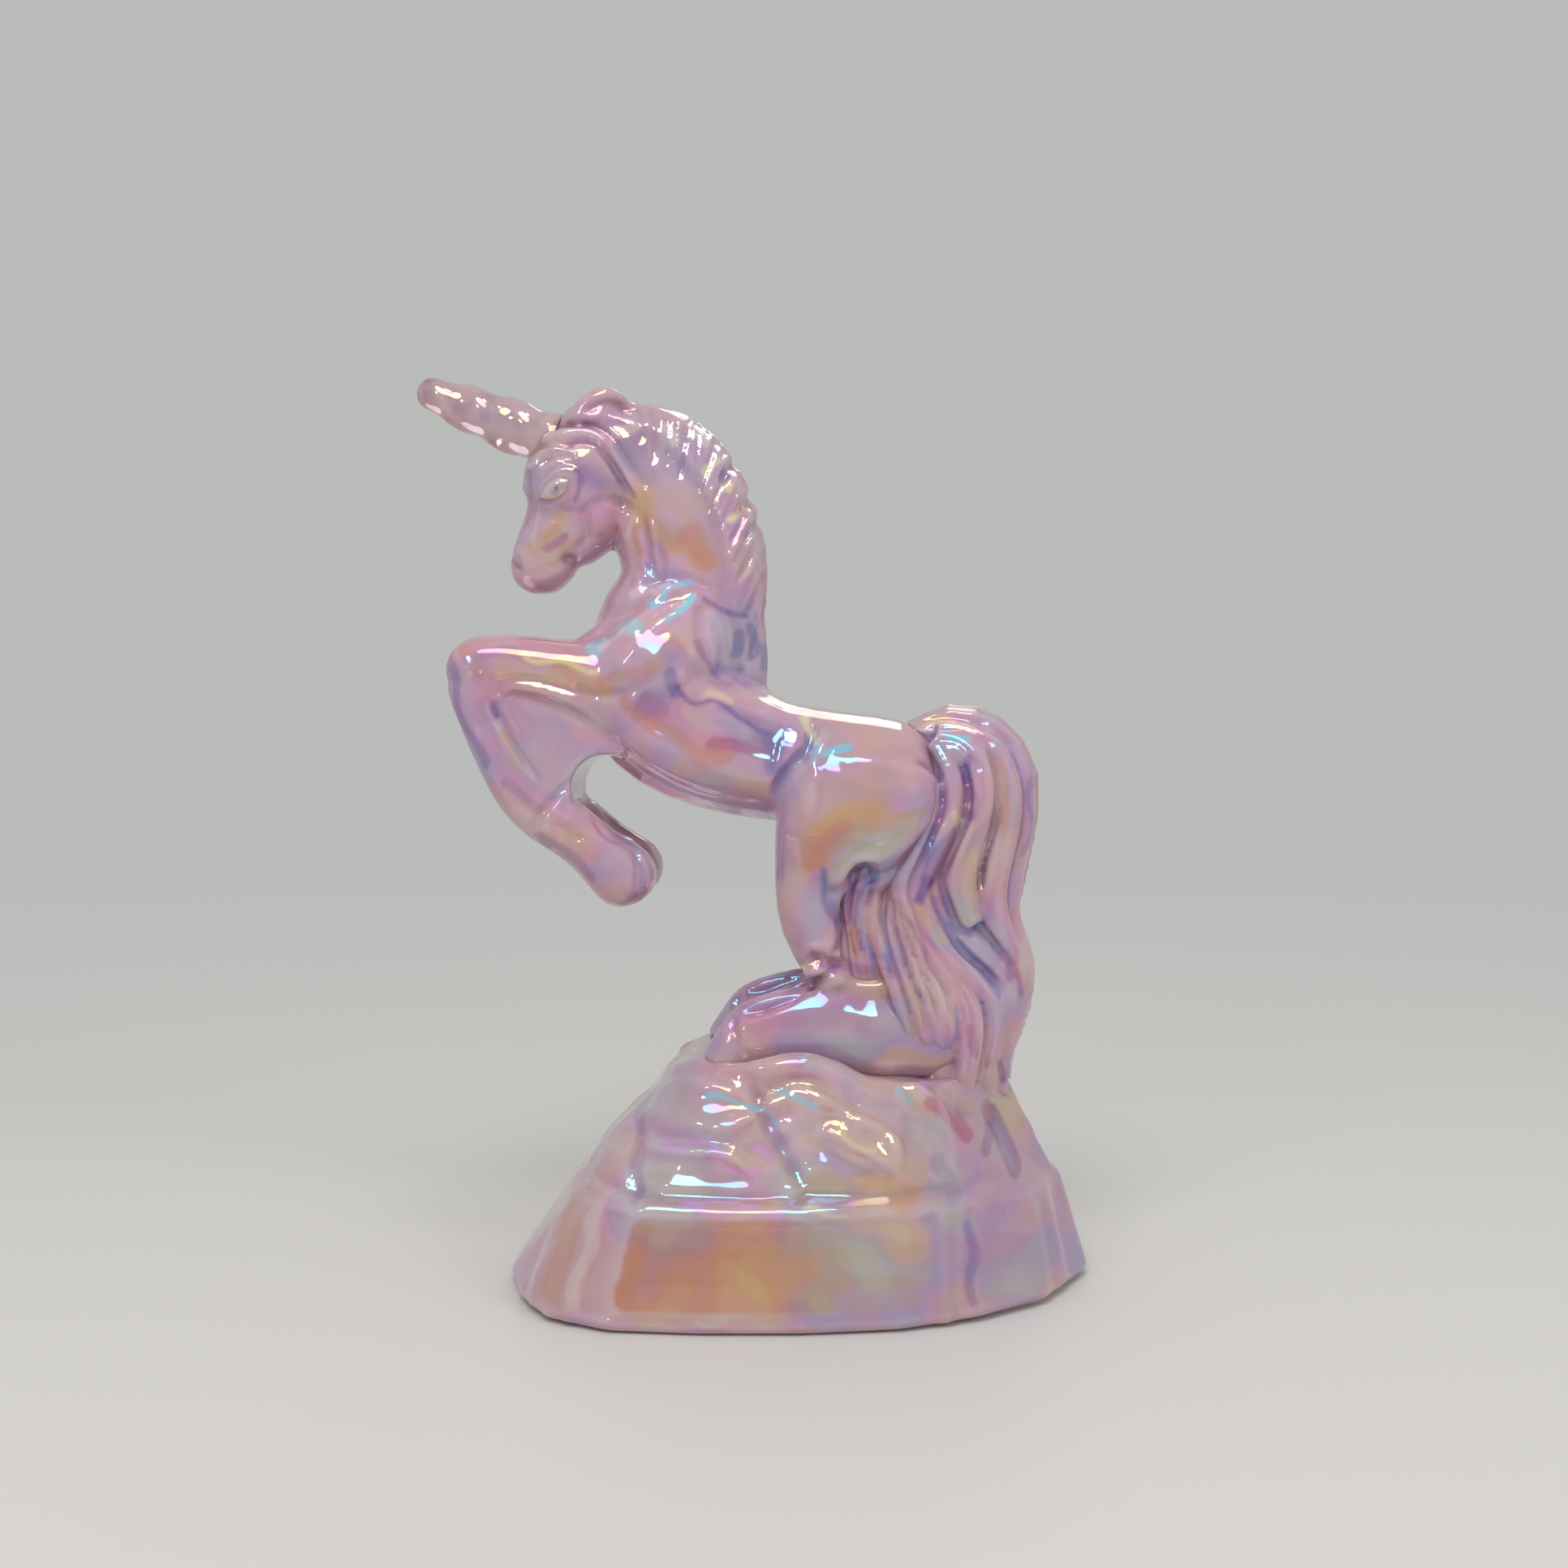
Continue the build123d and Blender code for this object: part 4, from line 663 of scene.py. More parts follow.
class SkinSettings(bpy.types.PropertyGroup):
    """How finely the skins are fused and how far they are smoothed."""

    body_grid: length_setting("Body grid", "Cell of the body's skin", 0.436 * MM, FINEST_GRID)
    hair_grid: length_setting("Hair grid", "Cell of the tail's skin", 0.4 * MM, FINEST_GRID)
    base_grid: length_setting("Base grid", "Cell of the base's skin", 0.5 * MM, FINEST_GRID)
    body_swell: length_setting("Body swell", "How far the body's forms are swollen", 0.15 * MM)
    base_swell: length_setting("Base swell", "How far the base's forms are swollen", 0.02 * MM)
    ripple: length_setting("Ripple", "Height of the lumps in the rock", 0.12 * MM)
    body_rounding: count_setting("Body rounding", "How often the body's corners are rounded", 3)
    base_rounding: count_setting("Base rounding", "How often the base's corners are rounded", 7)
    body_passes: count_setting("Body passes", "How often the body is relaxed", 11)
    hair_passes: count_setting("Hair passes", "How often the hair is relaxed", 8)
    base_passes: count_setting("Base passes", "How often the base is relaxed", 10)
    body_melting: count_setting("Body melting", "How often the body's seams are smoothed", 42)
    hair_melting: count_setting("Hair melting", "How often the tail's seams are smoothed", 30)


class HornSettings(bpy.types.PropertyGroup):
    """Sizes of the twisted horn."""

    length: length_setting("Length", "Root to tip", 20.6 * MM)
    radius: length_setting("Root radius", "Half the width at the root", 3.85 * MM)
    turns: FloatProperty(name="Turns", description="Turns of the ridges from root to tip", default=1.5)
    ridge: share_setting("Ridge", "Height of a ridge as a share of the radius", 0.075)
    tilt: FloatProperty(
        name="Tilt", description="Angle above level", subtype="ANGLE", default=math.radians(21.5))


class StageSettings(bpy.types.PropertyGroup):
    """Floor, light and backdrop."""

    floor: color_setting("Floor", "Pale table top", (0.54, 0.52, 0.50))
    far_floor: color_setting("Far floor", "Table top beyond the lamps", (0.72, 0.69, 0.67))
    wall: color_setting("Wall", "Grey behind the table", (0.49, 0.50, 0.49))
    sky: color_setting("Sky", "Tint of the light all round", (0.97, 0.99, 1.0))
    daylight: FloatProperty(
        name="Daylight", description="Strength of the light all round", default=0.72, min=0.0)
    lamp: power_setting("Lamp", "Power of the main softbox", 1.6)
    sparkle: power_setting("Sparkle", "Power of a small lamp", 0.16)


def new_object(name, data):
    """A linked object that shows the data."""
    piece = bpy.data.objects.new(name, data)
    bpy.context.scene.collection.objects.link(piece)
    return piece


def plain_mesh(piece):
    """The mesh that the piece's modifiers give."""
    bpy.context.view_layer.update()
    evaluated = piece.evaluated_get(bpy.context.evaluated_depsgraph_get())
    return bpy.data.meshes.new_from_object(evaluated)


def drop(piece):
    """Removes an object and its mesh or curve."""
    data = piece.data
    bpy.data.objects.remove(piece)
    kept = bpy.data.meshes if isinstance(data, bpy.types.Mesh) else bpy.data.curves
    kept.remove(data)


def add_nodes(forms, nodes, grow):
    """Adds copies of CAD nodes to a bmesh, each swollen by grow."""
    for name in nodes:
        part = bmesh.new()
        part.from_mesh(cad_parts[name].data)
        bmesh.ops.remove_doubles(part, verts=part.verts, dist=DOUBLES)
        part.normal_update()
        for vert in part.verts:
            vert.co += vert.normal * grow
        mesh = bpy.data.meshes.new(name)
        part.to_mesh(mesh)
        part.free()
        forms.from_mesh(mesh)
        bpy.data.meshes.remove(mesh)


def fused(name, forms, grid):
    """One closed skin round all the forms."""
    mesh = bpy.data.meshes.new(name)
    forms.to_mesh(mesh)
    forms.free()
    piece = new_object(name, mesh)
    remesh = piece.modifiers.new("Fuse", "REMESH")
    remesh.mode = "VOXEL"
    remesh.voxel_size = grid
    skin = plain_mesh(piece)
    drop(piece)
    skin.name = name
    return skin


def points_of(mesh):
    """The mesh's points as an array."""
    points = np.empty(len(mesh.vertices) * 3)
    mesh.vertices.foreach_get("co", points)
    return points.reshape(-1, 3)


def set_points(mesh, points):
    """Moves the mesh's points."""
    mesh.vertices.foreach_set("co", np.ascontiguousarray(points, np.float32).ravel())
    mesh.update()


def normals_of(mesh):
    """The outward direction at each point."""
    normals = np.empty(len(mesh.vertices) * 3, np.float32)
    mesh.vertex_normals.foreach_get("vector", normals)
    return normals.reshape(-1, 3).astype(float)


def edges_of(mesh):
    """The mesh's edges as pairs of points."""
    edges = np.empty(len(mesh.edges) * 2, np.int32)
    mesh.edges.foreach_get("vertices", edges)
    return edges.reshape(-1, 2)


def toward_neighbours(values, edges):
    """How far each value is from the mean of its neighbours' values."""
    count = np.bincount(edges.ravel(), minlength=len(values))
    total = np.zeros_like(values)
    for axis in range(values.shape[1]):
        total[:, axis] = np.bincount(edges[:, 0], values[edges[:, 1], axis], len(values))
        total[:, axis] += np.bincount(edges[:, 1], values[edges[:, 0], axis], len(values))
    return total / np.maximum(count, 1)[:, None] - values


def relax(mesh, passes, push=PUSH):
    """Smooths the skin. Each pull towards the neighbours is followed by a push back that keeps the volume."""
    points, edges = points_of(mesh), edges_of(mesh)
    for _ in range(passes):
        points += PULL * toward_neighbours(points, edges)
        points -= push * toward_neighbours(points, edges)
    set_points(mesh, points)


def settle(mesh, passes):
    """Smooths the skin with no push back, so that sharp corners round off."""
    relax(mesh, passes, 0.0)


def melt(mesh, seams, passes):
    """Smooths the skin along seams, so that one form runs into the next."""
    points, edges = points_of(mesh), edges_of(mesh)
    soft = np.zeros(len(points))
    for path, width in seams:
        away, _ = near(points[:, [0, 2]], curved(path) * MM, width * MM)
        soft = np.maximum(soft, np.clip(1.5 - 1.5 * away, 0, 1))
    for _ in range(passes):
        points += PULL * soft[:, None] * toward_neighbours(points, edges)
    set_points(mesh, points)


def near(places, path, width):
    """How many widths each place is from a run of points, up to 2, and its share of the way along the run."""
    away, along = np.full(len(places), 2.0), np.zeros(len(places))
    reach = 2 * width
    close = np.flatnonzero(((places > path.min(0) - reach) & (places < path.max(0) + reach)).all(1))
    for k, (start, end) in enumerate(zip(path, path[1:])):
        run = end - start
        offset = places[close] - start
        share = np.clip(offset @ run / max(run @ run, 1e-12), 0, 1)
        gap = np.linalg.norm(offset - share[:, None] * run, axis=1) / width
        nearer = gap < away[close]
        away[close[nearer]] = gap[nearer]
        along[close[nearer]] = (k + share[nearer]) / (len(path) - 1)
    return away, along


def curved(points):
    """The points with steps between them on a smooth curve."""
    points = np.array(points, float)
    rows = np.vstack([2 * points[0] - points[1], points, 2 * points[-1] - points[-2]])
    out = []
    for p, q, r, s in zip(rows, rows[1:], rows[2:], rows[3:]):
        for t in np.arange(STEPS) / STEPS:
            square, cube = 2 * p - 5 * q + 4 * r - s, 3 * q - p - 3 * r + s
            out.append(0.5 * (2 * q + (r - p) * t + square * t**2 + cube * t**3))
    return np.array(out + [points[-1]])


def work(mesh, strokes, facing=FACING_SIDE):
    """Presses or raises strokes on both sides of a skin. They fade at their ends and where it turns away."""
    points, normals = points_of(mesh), normals_of(mesh)
    side = np.clip((np.abs(normals[:, 1]) - facing) / TURN_FADE, 0, 1)
    amount = np.zeros(len(points))
    for path, width, depth in strokes:
        away, along = near(points[:, [0, 2]], curved(path) * MM, width * MM)
        ends = np.clip(END_RATE * np.minimum(along, 1 - along), 0, 1)
        amount += depth * MM * np.sqrt(ends) * np.clip(1 - away**2, 0, 1) ** 2
    set_points(mesh, points + normals * (side * amount)[:, None])


def combed(lines):
    """Strokes for the mane: the drawn lines, and between each two a fine line between raised strands."""
    strokes = [(path, MANE_LINE_WIDTH, depth) for path, depth in lines]
    for (first, _), (second, _) in zip(lines, lines[1:]):
        for share, width, depth in MANE_STRANDS:
            strokes.append(((1 - share) * np.array(first) + share * np.array(second), width, depth))
    return strokes


def ripple(mesh, height, low, high):
    """Roughens the skin between two heights, in millimetres, with soft lumps."""
    points, normals = points_of(mesh), normals_of(mesh)
    along, side, up = points.T / MM
    wave = np.sin(0.5 * along + 0.6 * up) * np.sin(0.7 * up - 0.3 * along + 0.5 * side)
    wave += 0.5 * np.sin(0.9 * along - 1.0 * up + 0.6 * side)
    share = np.clip((up - low) / 2, 0, 1) * np.clip((high - up) / 2, 0, 1)
    set_points(mesh, points + normals * (height * wave * share)[:, None])


def mark_hollows(mesh):
    """Stores how hollow (above zero) or proud (below zero) the skin is at each point."""
    points, normals, edges = points_of(mesh), normals_of(mesh), edges_of(mesh)
    length = np.linalg.norm(points[edges[:, 0]] - points[edges[:, 1]], axis=1).mean()
    bend = (toward_neighbours(points, edges) * normals).sum(1)[:, None] / length**2
    for _ in range(HOLLOW_PASSES):
        bend = bend + PULL * toward_neighbours(bend, edges)
    hollow = mesh.attributes.new("hollow", "FLOAT", "POINT")
    hollow.data.foreach_set("value", np.clip(bend[:, 0] * HOLLOW_RADIUS * MM, -1, 1).astype(np.float32))


def loose_edge(width):
    """Share of a loose wash's width over which it fades, more for a wide wash."""
    return min(0.3 + 0.4 * width, 1.5)


def paint(mesh, glass, loose, exact=()):
    """Stores the washes' colour and how much of it covers the film. Loose washes sway a little."""
    points = points_of(mesh) / MM
    along, side, up = points.T
    swayed = np.column_stack([
        along + SWAY * np.sin(0.7 * up + 0.4 * side),
        up + SWAY * np.sin(0.8 * along - 0.4 * side + 1.0),
    ])
    color = np.tile(np.array(glass.mauve), (len(points), 1))
    cover = np.zeros(len(points))
    washes = [(swayed, loose_edge(wash[1]), wash) for wash in loose]
    washes += [(points[:, [0, 2]], EXACT_EDGE, wash) for wash in exact]
    for places, edge, (path, width, name, strength) in washes:
        soft = max(edge, EDGE / width)
        fade = np.clip((1 + soft / 2 - near(places, curved(path), width)[0]) / soft, 0, 1)
        fade = strength * fade * fade * (3 - 2 * fade)
        color += fade[:, None] * (np.array(getattr(glass, name)) - color)
        cover += fade * (1 - cover)
    tint = mesh.attributes.new("tint", "FLOAT_COLOR", "POINT")
    tint.data.foreach_set("color", np.column_stack([color, cover]).astype(np.float32).ravel())


def finish_piece(name, mesh, material, nodes):
    """Shows the mesh as a finished piece, riding on the body in place of its CAD nodes."""
    mesh.materials.clear()
    mesh.materials.append(material)
    mesh.polygons.foreach_set("use_smooth", np.ones(len(mesh.polygons), bool))
    piece = new_object(name, mesh)
    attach(piece, BODY)
    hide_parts(*nodes)


def feed(tree, socket, value):
    """Links an input to another node's output, or sets its value."""
    if isinstance(value, bpy.types.NodeSocket):
        tree.links.new(value, socket)
    else:
        socket.default_value = value


def node(tree, kind, **inputs):
    """A new node with its inputs linked or set. A name's _ stands for a blank."""
    made = tree.nodes.new(kind)
    for name, value in inputs.items():
        feed(tree, made.inputs[name.replace("_", " ")], value)
    return made


def output(tree, kind, name):
    """The named output of a new node that needs no input."""
    return tree.nodes.new(kind).outputs[name]


def math_node(tree, operation, *values):
    """A Math node fed by outputs or numbers."""
    made = tree.nodes.new("ShaderNodeMath")
    made.operation = operation
    for socket, value in zip(made.inputs, values):
        feed(tree, socket, value)
    return made.outputs[0]


def blend(tree, share, first, second):
    """A Mix node for colours, fed by outputs or fixed colours."""
    made = tree.nodes.new("ShaderNodeMix")
    made.data_type = "RGBA"
    feed(tree, made.inputs["Factor"], share)
    sockets = [item for item in made.inputs if item.type == "RGBA"]
    for socket, value in zip(sockets, (first, second)):
        feed(tree, socket, value if isinstance(value, bpy.types.NodeSocket) else (*value, 1))
    return [item for item in made.outputs if item.type == "RGBA"][0]


def float_curve(tree, value, points):
    """A value read off a curve through these points."""
    made = node(tree, "ShaderNodeFloatCurve", Value=value)
    curve = made.mapping.curves[0]
    curve.points[0].location = points[0]
    curve.points[1].location = points[-1]
    for point in points[1:-1]:
        curve.points.new(*point)
    made.mapping.update()
    return made.outputs[0]


def new_group(name, kind, inputs, outputs):
    """A node group, the outputs of its input node and the inputs of its output node."""
    tree = bpy.data.node_groups.new(name, kind)
    for way, sockets in (("INPUT", inputs), ("OUTPUT", outputs)):
        for socket, socket_kind in sockets.items():
            tree.interface.new_socket(socket, in_out=way, socket_type=f"NodeSocket{socket_kind}")
    return tree, tree.nodes.new("NodeGroupInput").outputs, tree.nodes.new("NodeGroupOutput").inputs


def end_group(tree, geometry, material, out):
    """Ends a geometry group with real meshes in their material."""
    real = node(tree, "GeometryNodeRealizeInstances", Geometry=geometry)
    coated = node(tree, "GeometryNodeSetMaterial", Geometry=real.outputs[0], Material=material)
    feed(tree, out["Geometry"], coated.outputs[0])


def iridescence_group(glass):
    """Painted film sheen over the surface: bands that drift with the place and the slope of the glass."""
    name = "Iridescent film"
    if name in bpy.data.node_groups:
        return bpy.data.node_groups[name]
    inputs = {"Patch scale": "Float", "Shift": "Float", "Tint": "Color", "Cover": "Float", "Hollow": "Float"}
    outputs = {"Color": "Color", "Roughness": "Float"}
    tree, into, out = new_group(name, "ShaderNodeTree", inputs, outputs)
    place = output(tree, "ShaderNodeTexCoord", "Object")
    drift = node(
        tree, "ShaderNodeTexNoise", Vector=place, Scale=into["Patch scale"], Detail=2.0, Roughness=0.45,
        Distortion=0.6)
    slope = node(tree, "ShaderNodeSeparateXYZ", Vector=output(tree, "ShaderNodeNewGeometry", "Normal"))
    phase = math_node(tree, "MULTIPLY", drift.outputs[0], 1.5)
    phase = math_node(tree, "ADD", phase, math_node(tree, "MULTIPLY", slope.outputs["Z"], 0.22))
    phase = math_node(tree, "ADD", phase, math_node(tree, "MULTIPLY", slope.outputs["X"], 0.12))
    phase = math_node(tree, "ADD", phase, into["Shift"])
    bands = tree.nodes.new("ShaderNodeValToRGB")
    feed(tree, bands.inputs[0], math_node(tree, "FRACT", phase))
    ramp = bands.color_ramp
    ramp.interpolation = "B_SPLINE"
    stops = [(0.0, glass.mauve), (0.18, glass.rose), (0.34, glass.clear), (0.48, glass.cream),
             (0.62, glass.mauve), (0.76, glass.lavender), (0.88, glass.mauve), (1.0, glass.mauve)]
    while len(ramp.elements) < len(stops):
        ramp.elements.new(0.5)
    for element, (position, color) in zip(ramp.elements, stops):
        element.position = position
        element.color = (*color, 1)
    washed = blend(tree, into["Cover"], bands.outputs[0], into["Tint"])
    # Painted shade: hollows darken towards violet, and proud ridges turn paler, towards clear.
    crease = node(tree, "ShaderNodeMapRange", Value=into["Hollow"], From_Min=0.2, To_Max=0.55)
    dark = blend(tree, crease.outputs[0], washed, glass.violet)
    edge = node(tree, "ShaderNodeMapRange", Value=into["Hollow"], From_Min=-0.15, From_Max=-1.0, To_Max=0.45)
    feed(tree, out["Color"], blend(tree, edge.outputs[0], dark, glass.clear))
    rough = node(tree, "ShaderNodeMapRange", Value=drift.outputs[0], To_Min=0.03, To_Max=0.12)
    feed(tree, out["Roughness"], rough.outputs[0])
    return tree


def film_thickness(tree, place, glass):
    """The coat's thickness, which varies over the glass and falls off on the head."""
    noise = node(tree, "ShaderNodeTexNoise", Vector=place, Scale=90.0, Detail=1.0)
    least, most = glass.film - glass.film_spread, glass.film + glass.film_spread
    spread = node(
        tree, "ShaderNodeMapRange", Value=noise.outputs[0], From_Min=0.38, From_Max=0.62, To_Min=least,
        To_Max=most)
    height = node(tree, "ShaderNodeSeparateXYZ", Vector=place).outputs["Z"]
    loss = node(
        tree, "ShaderNodeMapRange", Value=height, From_Min=98 * MM, From_Max=112 * MM, To_Max=glass.film_loss)
    return math_node(tree, "SUBTRACT", spread.outputs[0], loss.outputs[0])


def glass_material(name, glass, patch_scale, shift, clearness):
    """Iridescent glass that shows the mesh's washes and paints shade into its creases."""
    material = bpy.data.materials.new(name)
    material.use_nodes = True
    tree = material.node_tree
    film = tree.nodes.new("ShaderNodeGroup")
    film.node_tree = iridescence_group(glass)
    hollow, tint = tree.nodes.new("ShaderNodeAttribute"), tree.nodes.new("ShaderNodeAttribute")
    hollow.attribute_name = "hollow"
    tint.attribute_name = "tint"
    film_inputs = {
        "Patch scale": patch_scale, "Shift": shift, "Hollow": hollow.outputs["Fac"],
        "Tint": tint.outputs["Color"], "Cover": tint.outputs["Alpha"],
    }
    for socket, value in film_inputs.items():
        feed(tree, film.inputs[socket], value)
    place = output(tree, "ShaderNodeTexCoord", "Object")
    sway = node(tree, "ShaderNodeTexNoise", Vector=place, Scale=120.0, Detail=1.0)
    bump = node(tree, "ShaderNodeBump", Height=sway.outputs[0], Strength=0.12, Distance=0.6 * MM)
    surface_inputs = {
        "Base Color": film.outputs["Color"], "Roughness": film.outputs["Roughness"],
        "Normal": bump.outputs[0], "IOR": 1.5, "Transmission Weight": clearness,
        "Thin Film Thickness": film_thickness(tree, place, glass), "Thin Film IOR": 1.9,
        "Subsurface Weight": 0.4, "Subsurface Radius": (1.0, 0.75, 0.85), "Subsurface Scale": 4 * MM,
        "Coat Weight": 0.4, "Coat Roughness": 0.02,
    }
    for socket, value in surface_inputs.items():
        feed(tree, tree.nodes["Principled BSDF"].inputs[socket], value)
    return material


def lock_tree():
    """Geometry nodes that turn the lines of a curve into tapered locks."""
    name = "Locks of hair"
    if name in bpy.data.node_groups:
        return bpy.data.node_groups[name]
    inputs = {"Geometry": "Geometry", "Sides": "Int", "Steps": "Int", "Material": "Material"}
    tree, into, out = new_group(name, "GeometryNodeTree", inputs, {"Geometry": "Geometry"})
    even = node(tree, "GeometryNodeResampleCurve", Curve=into["Geometry"], Count=into["Steps"])
    taper = float_curve(tree, output(tree, "GeometryNodeSplineParameter", "Factor"), LOCK_TAPER)
    thick = math_node(tree, "MULTIPLY", taper, output(tree, "GeometryNodeInputRadius", "Radius"))
    ring = node(tree, "GeometryNodeCurvePrimitiveCircle", Resolution=into["Sides"], Radius=1.0)
    tube = node(
        tree, "GeometryNodeCurveToMesh", Curve=even.outputs[0], Profile_Curve=ring.outputs[0], Scale=thick,
        Fill_Caps=True)
    end_group(tree, tube.outputs[0], into["Material"], out)
    return tree


def horn_tree():
    """Geometry nodes for the horn: a ridged ring that turns and shrinks along a line."""
    inputs = {"Geometry": "Geometry", "Length": "Float", "Radius": "Float", "Turns": "Float",
              "Ridge": "Float", "Material": "Material"}
    tree, into, out = new_group("Twisted horn", "GeometryNodeTree", inputs, {"Geometry": "Geometry"})
    end = node(tree, "ShaderNodeCombineXYZ", Z=into["Length"])
    line = node(tree, "GeometryNodeCurvePrimitiveLine", End=end.outputs[0])
    even = node(tree, "GeometryNodeResampleCurve", Curve=line.outputs[0], Count=HORN_STEPS)
    along = output(tree, "GeometryNodeSplineParameter", "Factor")
    turn = math_node(tree, "MULTIPLY", math_node(tree, "MULTIPLY", along, into["Turns"]), 2 * math.pi)
    twist = node(tree, "GeometryNodeSetCurveTilt", Curve=even.outputs[0], Tilt=turn)
    ring = node(tree, "GeometryNodeCurvePrimitiveCircle", Resolution=HORN_SIDES, Radius=1.0)
    around = output(tree, "GeometryNodeSplineParameter", "Factor")
    wave = math_node(tree, "COSINE", math_node(tree, "MULTIPLY", around, HORN_RIDGES * 2 * math.pi))
    swell = math_node(tree, "ADD", math_node(tree, "MULTIPLY", wave, into["Ridge"]), 1.0)
    scaled = tree.nodes.new("ShaderNodeVectorMath")
    scaled.operation = "SCALE"
    feed(tree, scaled.inputs[0], output(tree, "GeometryNodeInputPosition", "Position"))
    feed(tree, scaled.inputs["Scale"], math_node(tree, "MULTIPLY", swell, into["Radius"]))
    shape = node(tree, "GeometryNodeSetPosition", Geometry=ring.outputs[0], Position=scaled.outputs[0])
    tube = node(
        tree, "GeometryNodeCurveToMesh", Curve=twist.outputs[0], Profile_Curve=shape.outputs[0],
        Scale=float_curve(tree, along, HORN_TAPER), Fill_Caps=True)
    end_group(tree, tube.outputs[0], into["Material"], out)
    return tree


def grown_mesh(piece, tree, **inputs):
    """The mesh that a geometry group makes of a piece. The piece itself is removed."""
    modifier = piece.modifiers.new(tree.name, "NODES")
    modifier.node_group = tree
    sockets = {item.name: item.identifier for item in tree.interface.items_tree if item.in_out == "INPUT"}
    for name, value in inputs.items():
        modifier[sockets[name]] = value
    mesh = plain_mesh(piece)
    drop(piece)
    return mesh


def lock_forms(forms, locks, material):
    """Adds the locks, on both sides, to a bmesh."""
    lines = bpy.data.curves.new("Lock lines", "CURVE")
    lines.dimensions = "3D"
    for points, half in locks:
        for side in (-1, 1):
            line = lines.splines.new("NURBS")
            line.points.add(len(points) - 1)
            for point, (along, out, up) in zip(line.points, points):
                point.co = (along * MM, side * out * MM, up * MM, 1)
                point.radius = half * MM
            line.order_u = 3
            line.use_endpoint_u = True
    piece = new_object("Lock lines", lines)
    mesh = grown_mesh(piece, lock_tree(), Sides=LOCK_SIDES, Steps=LOCK_STEPS, Material=material)
    forms.from_mesh(mesh)
    bpy.data.meshes.remove(mesh)


def horn_mesh(horn, material):
    """The closed mesh of the horn, at the place of the CAD one."""
    piece = new_object("horn", bpy.data.meshes.new("horn"))
    mesh = grown_mesh(
        piece, horn_tree(), Length=horn.length, Radius=horn.radius, Turns=horn.turns, Ridge=horn.ridge,
        Material=material)
    low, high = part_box("horn")
    tip = Vector((low.x, 0, high.z - HORN_TIP_DROP_SHARE * horn.radius))
    axis = Vector((-math.cos(horn.tilt), 0, math.sin(horn.tilt)))
    root = tip - axis * (horn.length - HORN_OVERRUN)
    side = Vector((0, 1, 0))
    set_points(mesh, points_of(mesh) @ np.array([side.cross(axis), side, axis]) + np.array(root))
    closed = bmesh.new()
    closed.from_mesh(mesh)
    bmesh.ops.remove_doubles(closed, verts=closed.verts, dist=DOUBLES)
    bmesh.ops.recalc_face_normals(closed, faces=closed.faces)
    closed.to_mesh(mesh)
    closed.free()
    mesh.name = "horn"
    return mesh


def eye_mesh(name, side):
    """A tilted almond with a dent for its pupil, which follows the curve of the head."""
    low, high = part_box(name)
    middle = (low + high) / 2 + Vector((EYE_SHIFT * MM, 0, 0))
    seat, lean, curl = EYE_SEAT
    eye = bmesh.new()
    bmesh.ops.create_uvsphere(eye, u_segments=EYE_SEGMENTS, v_segments=EYE_RINGS, radius=1)
    for vert in eye.verts:
        point = vert.co.copy()
        length = EYE_LENGTH * point.x
        height = EYE_HEIGHT * point.z * (1 - EYE_POINT_SHARE * abs(point.x) ** 3)
        along = length * math.cos(EYE_TILT) - height * math.sin(EYE_TILT)
        up = length * math.sin(EYE_TILT) + height * math.cos(EYE_TILT)
        pupil = PUPIL_SHARE * math.exp(-(point.x**2 + point.z**2) / PUPIL_SPREAD)
        out = seat + lean * along + curl * along**2 + EYE_BULGE * side * point.y * (1 - pupil)
        vert.co = middle + Vector((along, side * out, up)) * MM
    mesh = bpy.data.meshes.new(name)
    eye.to_mesh(mesh)
    eye.free()
    return mesh


class UNICORN_OT_body(bpy.types.Operator):
    """Builds the body, head, legs and mane as one skin of glass"""

    bl_idname = "unicorn.body"
    bl_label = "Body"

    def execute(self, context):
        glass, skin = context.scene.unicorn_glass, context.scene.unicorn_skin
        material = glass_material("Figure glass", glass, 42.0, 0.1, glass.clearness)
        forms = bmesh.new()
        add_nodes(forms, BODY_NODES, skin.body_swell)
        lock_forms(forms, CHEST_FORMS, material)
        mesh = fused("body", forms, skin.body_grid)
        settle(mesh, skin.body_rounding)
        relax(mesh, skin.body_passes)
        melt(mesh, BODY_MELTS, skin.body_melting)
        work(mesh, BODY_STROKES + HEAD_STROKES)
        work(mesh, combed(MANE_LINES), FACING_CREST)
        work(mesh, MANE_NOTCHES + RECESS_STROKES, FACING_ANY)
        relax(mesh, 1)
        mark_hollows(mesh)
        paint(mesh, glass, BODY_WASHES, FACE_WASHES + HOLLOW_WASHES)
        finish_piece("body", mesh, material, BODY_NODES)
        return {"FINISHED"}


class UNICORN_OT_tail(bpy.types.Operator):
    """Builds the tail and the hair under the haunch from flowing locks"""

    bl_idname = "unicorn.tail"
    bl_label = "Tail"

    def execute(self, context):
        glass, skin = context.scene.unicorn_glass, context.scene.unicorn_skin
        material = glass_material("Tail glass", glass, 55.0, 0.35, glass.clearness)
        forms = bmesh.new()
        add_nodes(forms, TAIL_NODES, 0.0)
        lock_forms(forms, TAIL_LOCKS, material)
        mesh = fused("tail", forms, skin.hair_grid)
        relax(mesh, skin.hair_passes)
        melt(mesh, TAIL_MELTS, skin.hair_melting)
        work(mesh, TAIL_STROKES)
        relax(mesh, 1)
        mark_hollows(mesh)
        paint(mesh, glass, TAIL_WASHES, HOLLOW_WASHES + FOOT_WASHES)
        finish_piece("tail", mesh, material, TAIL_NODES)
        return {"FINISHED"}


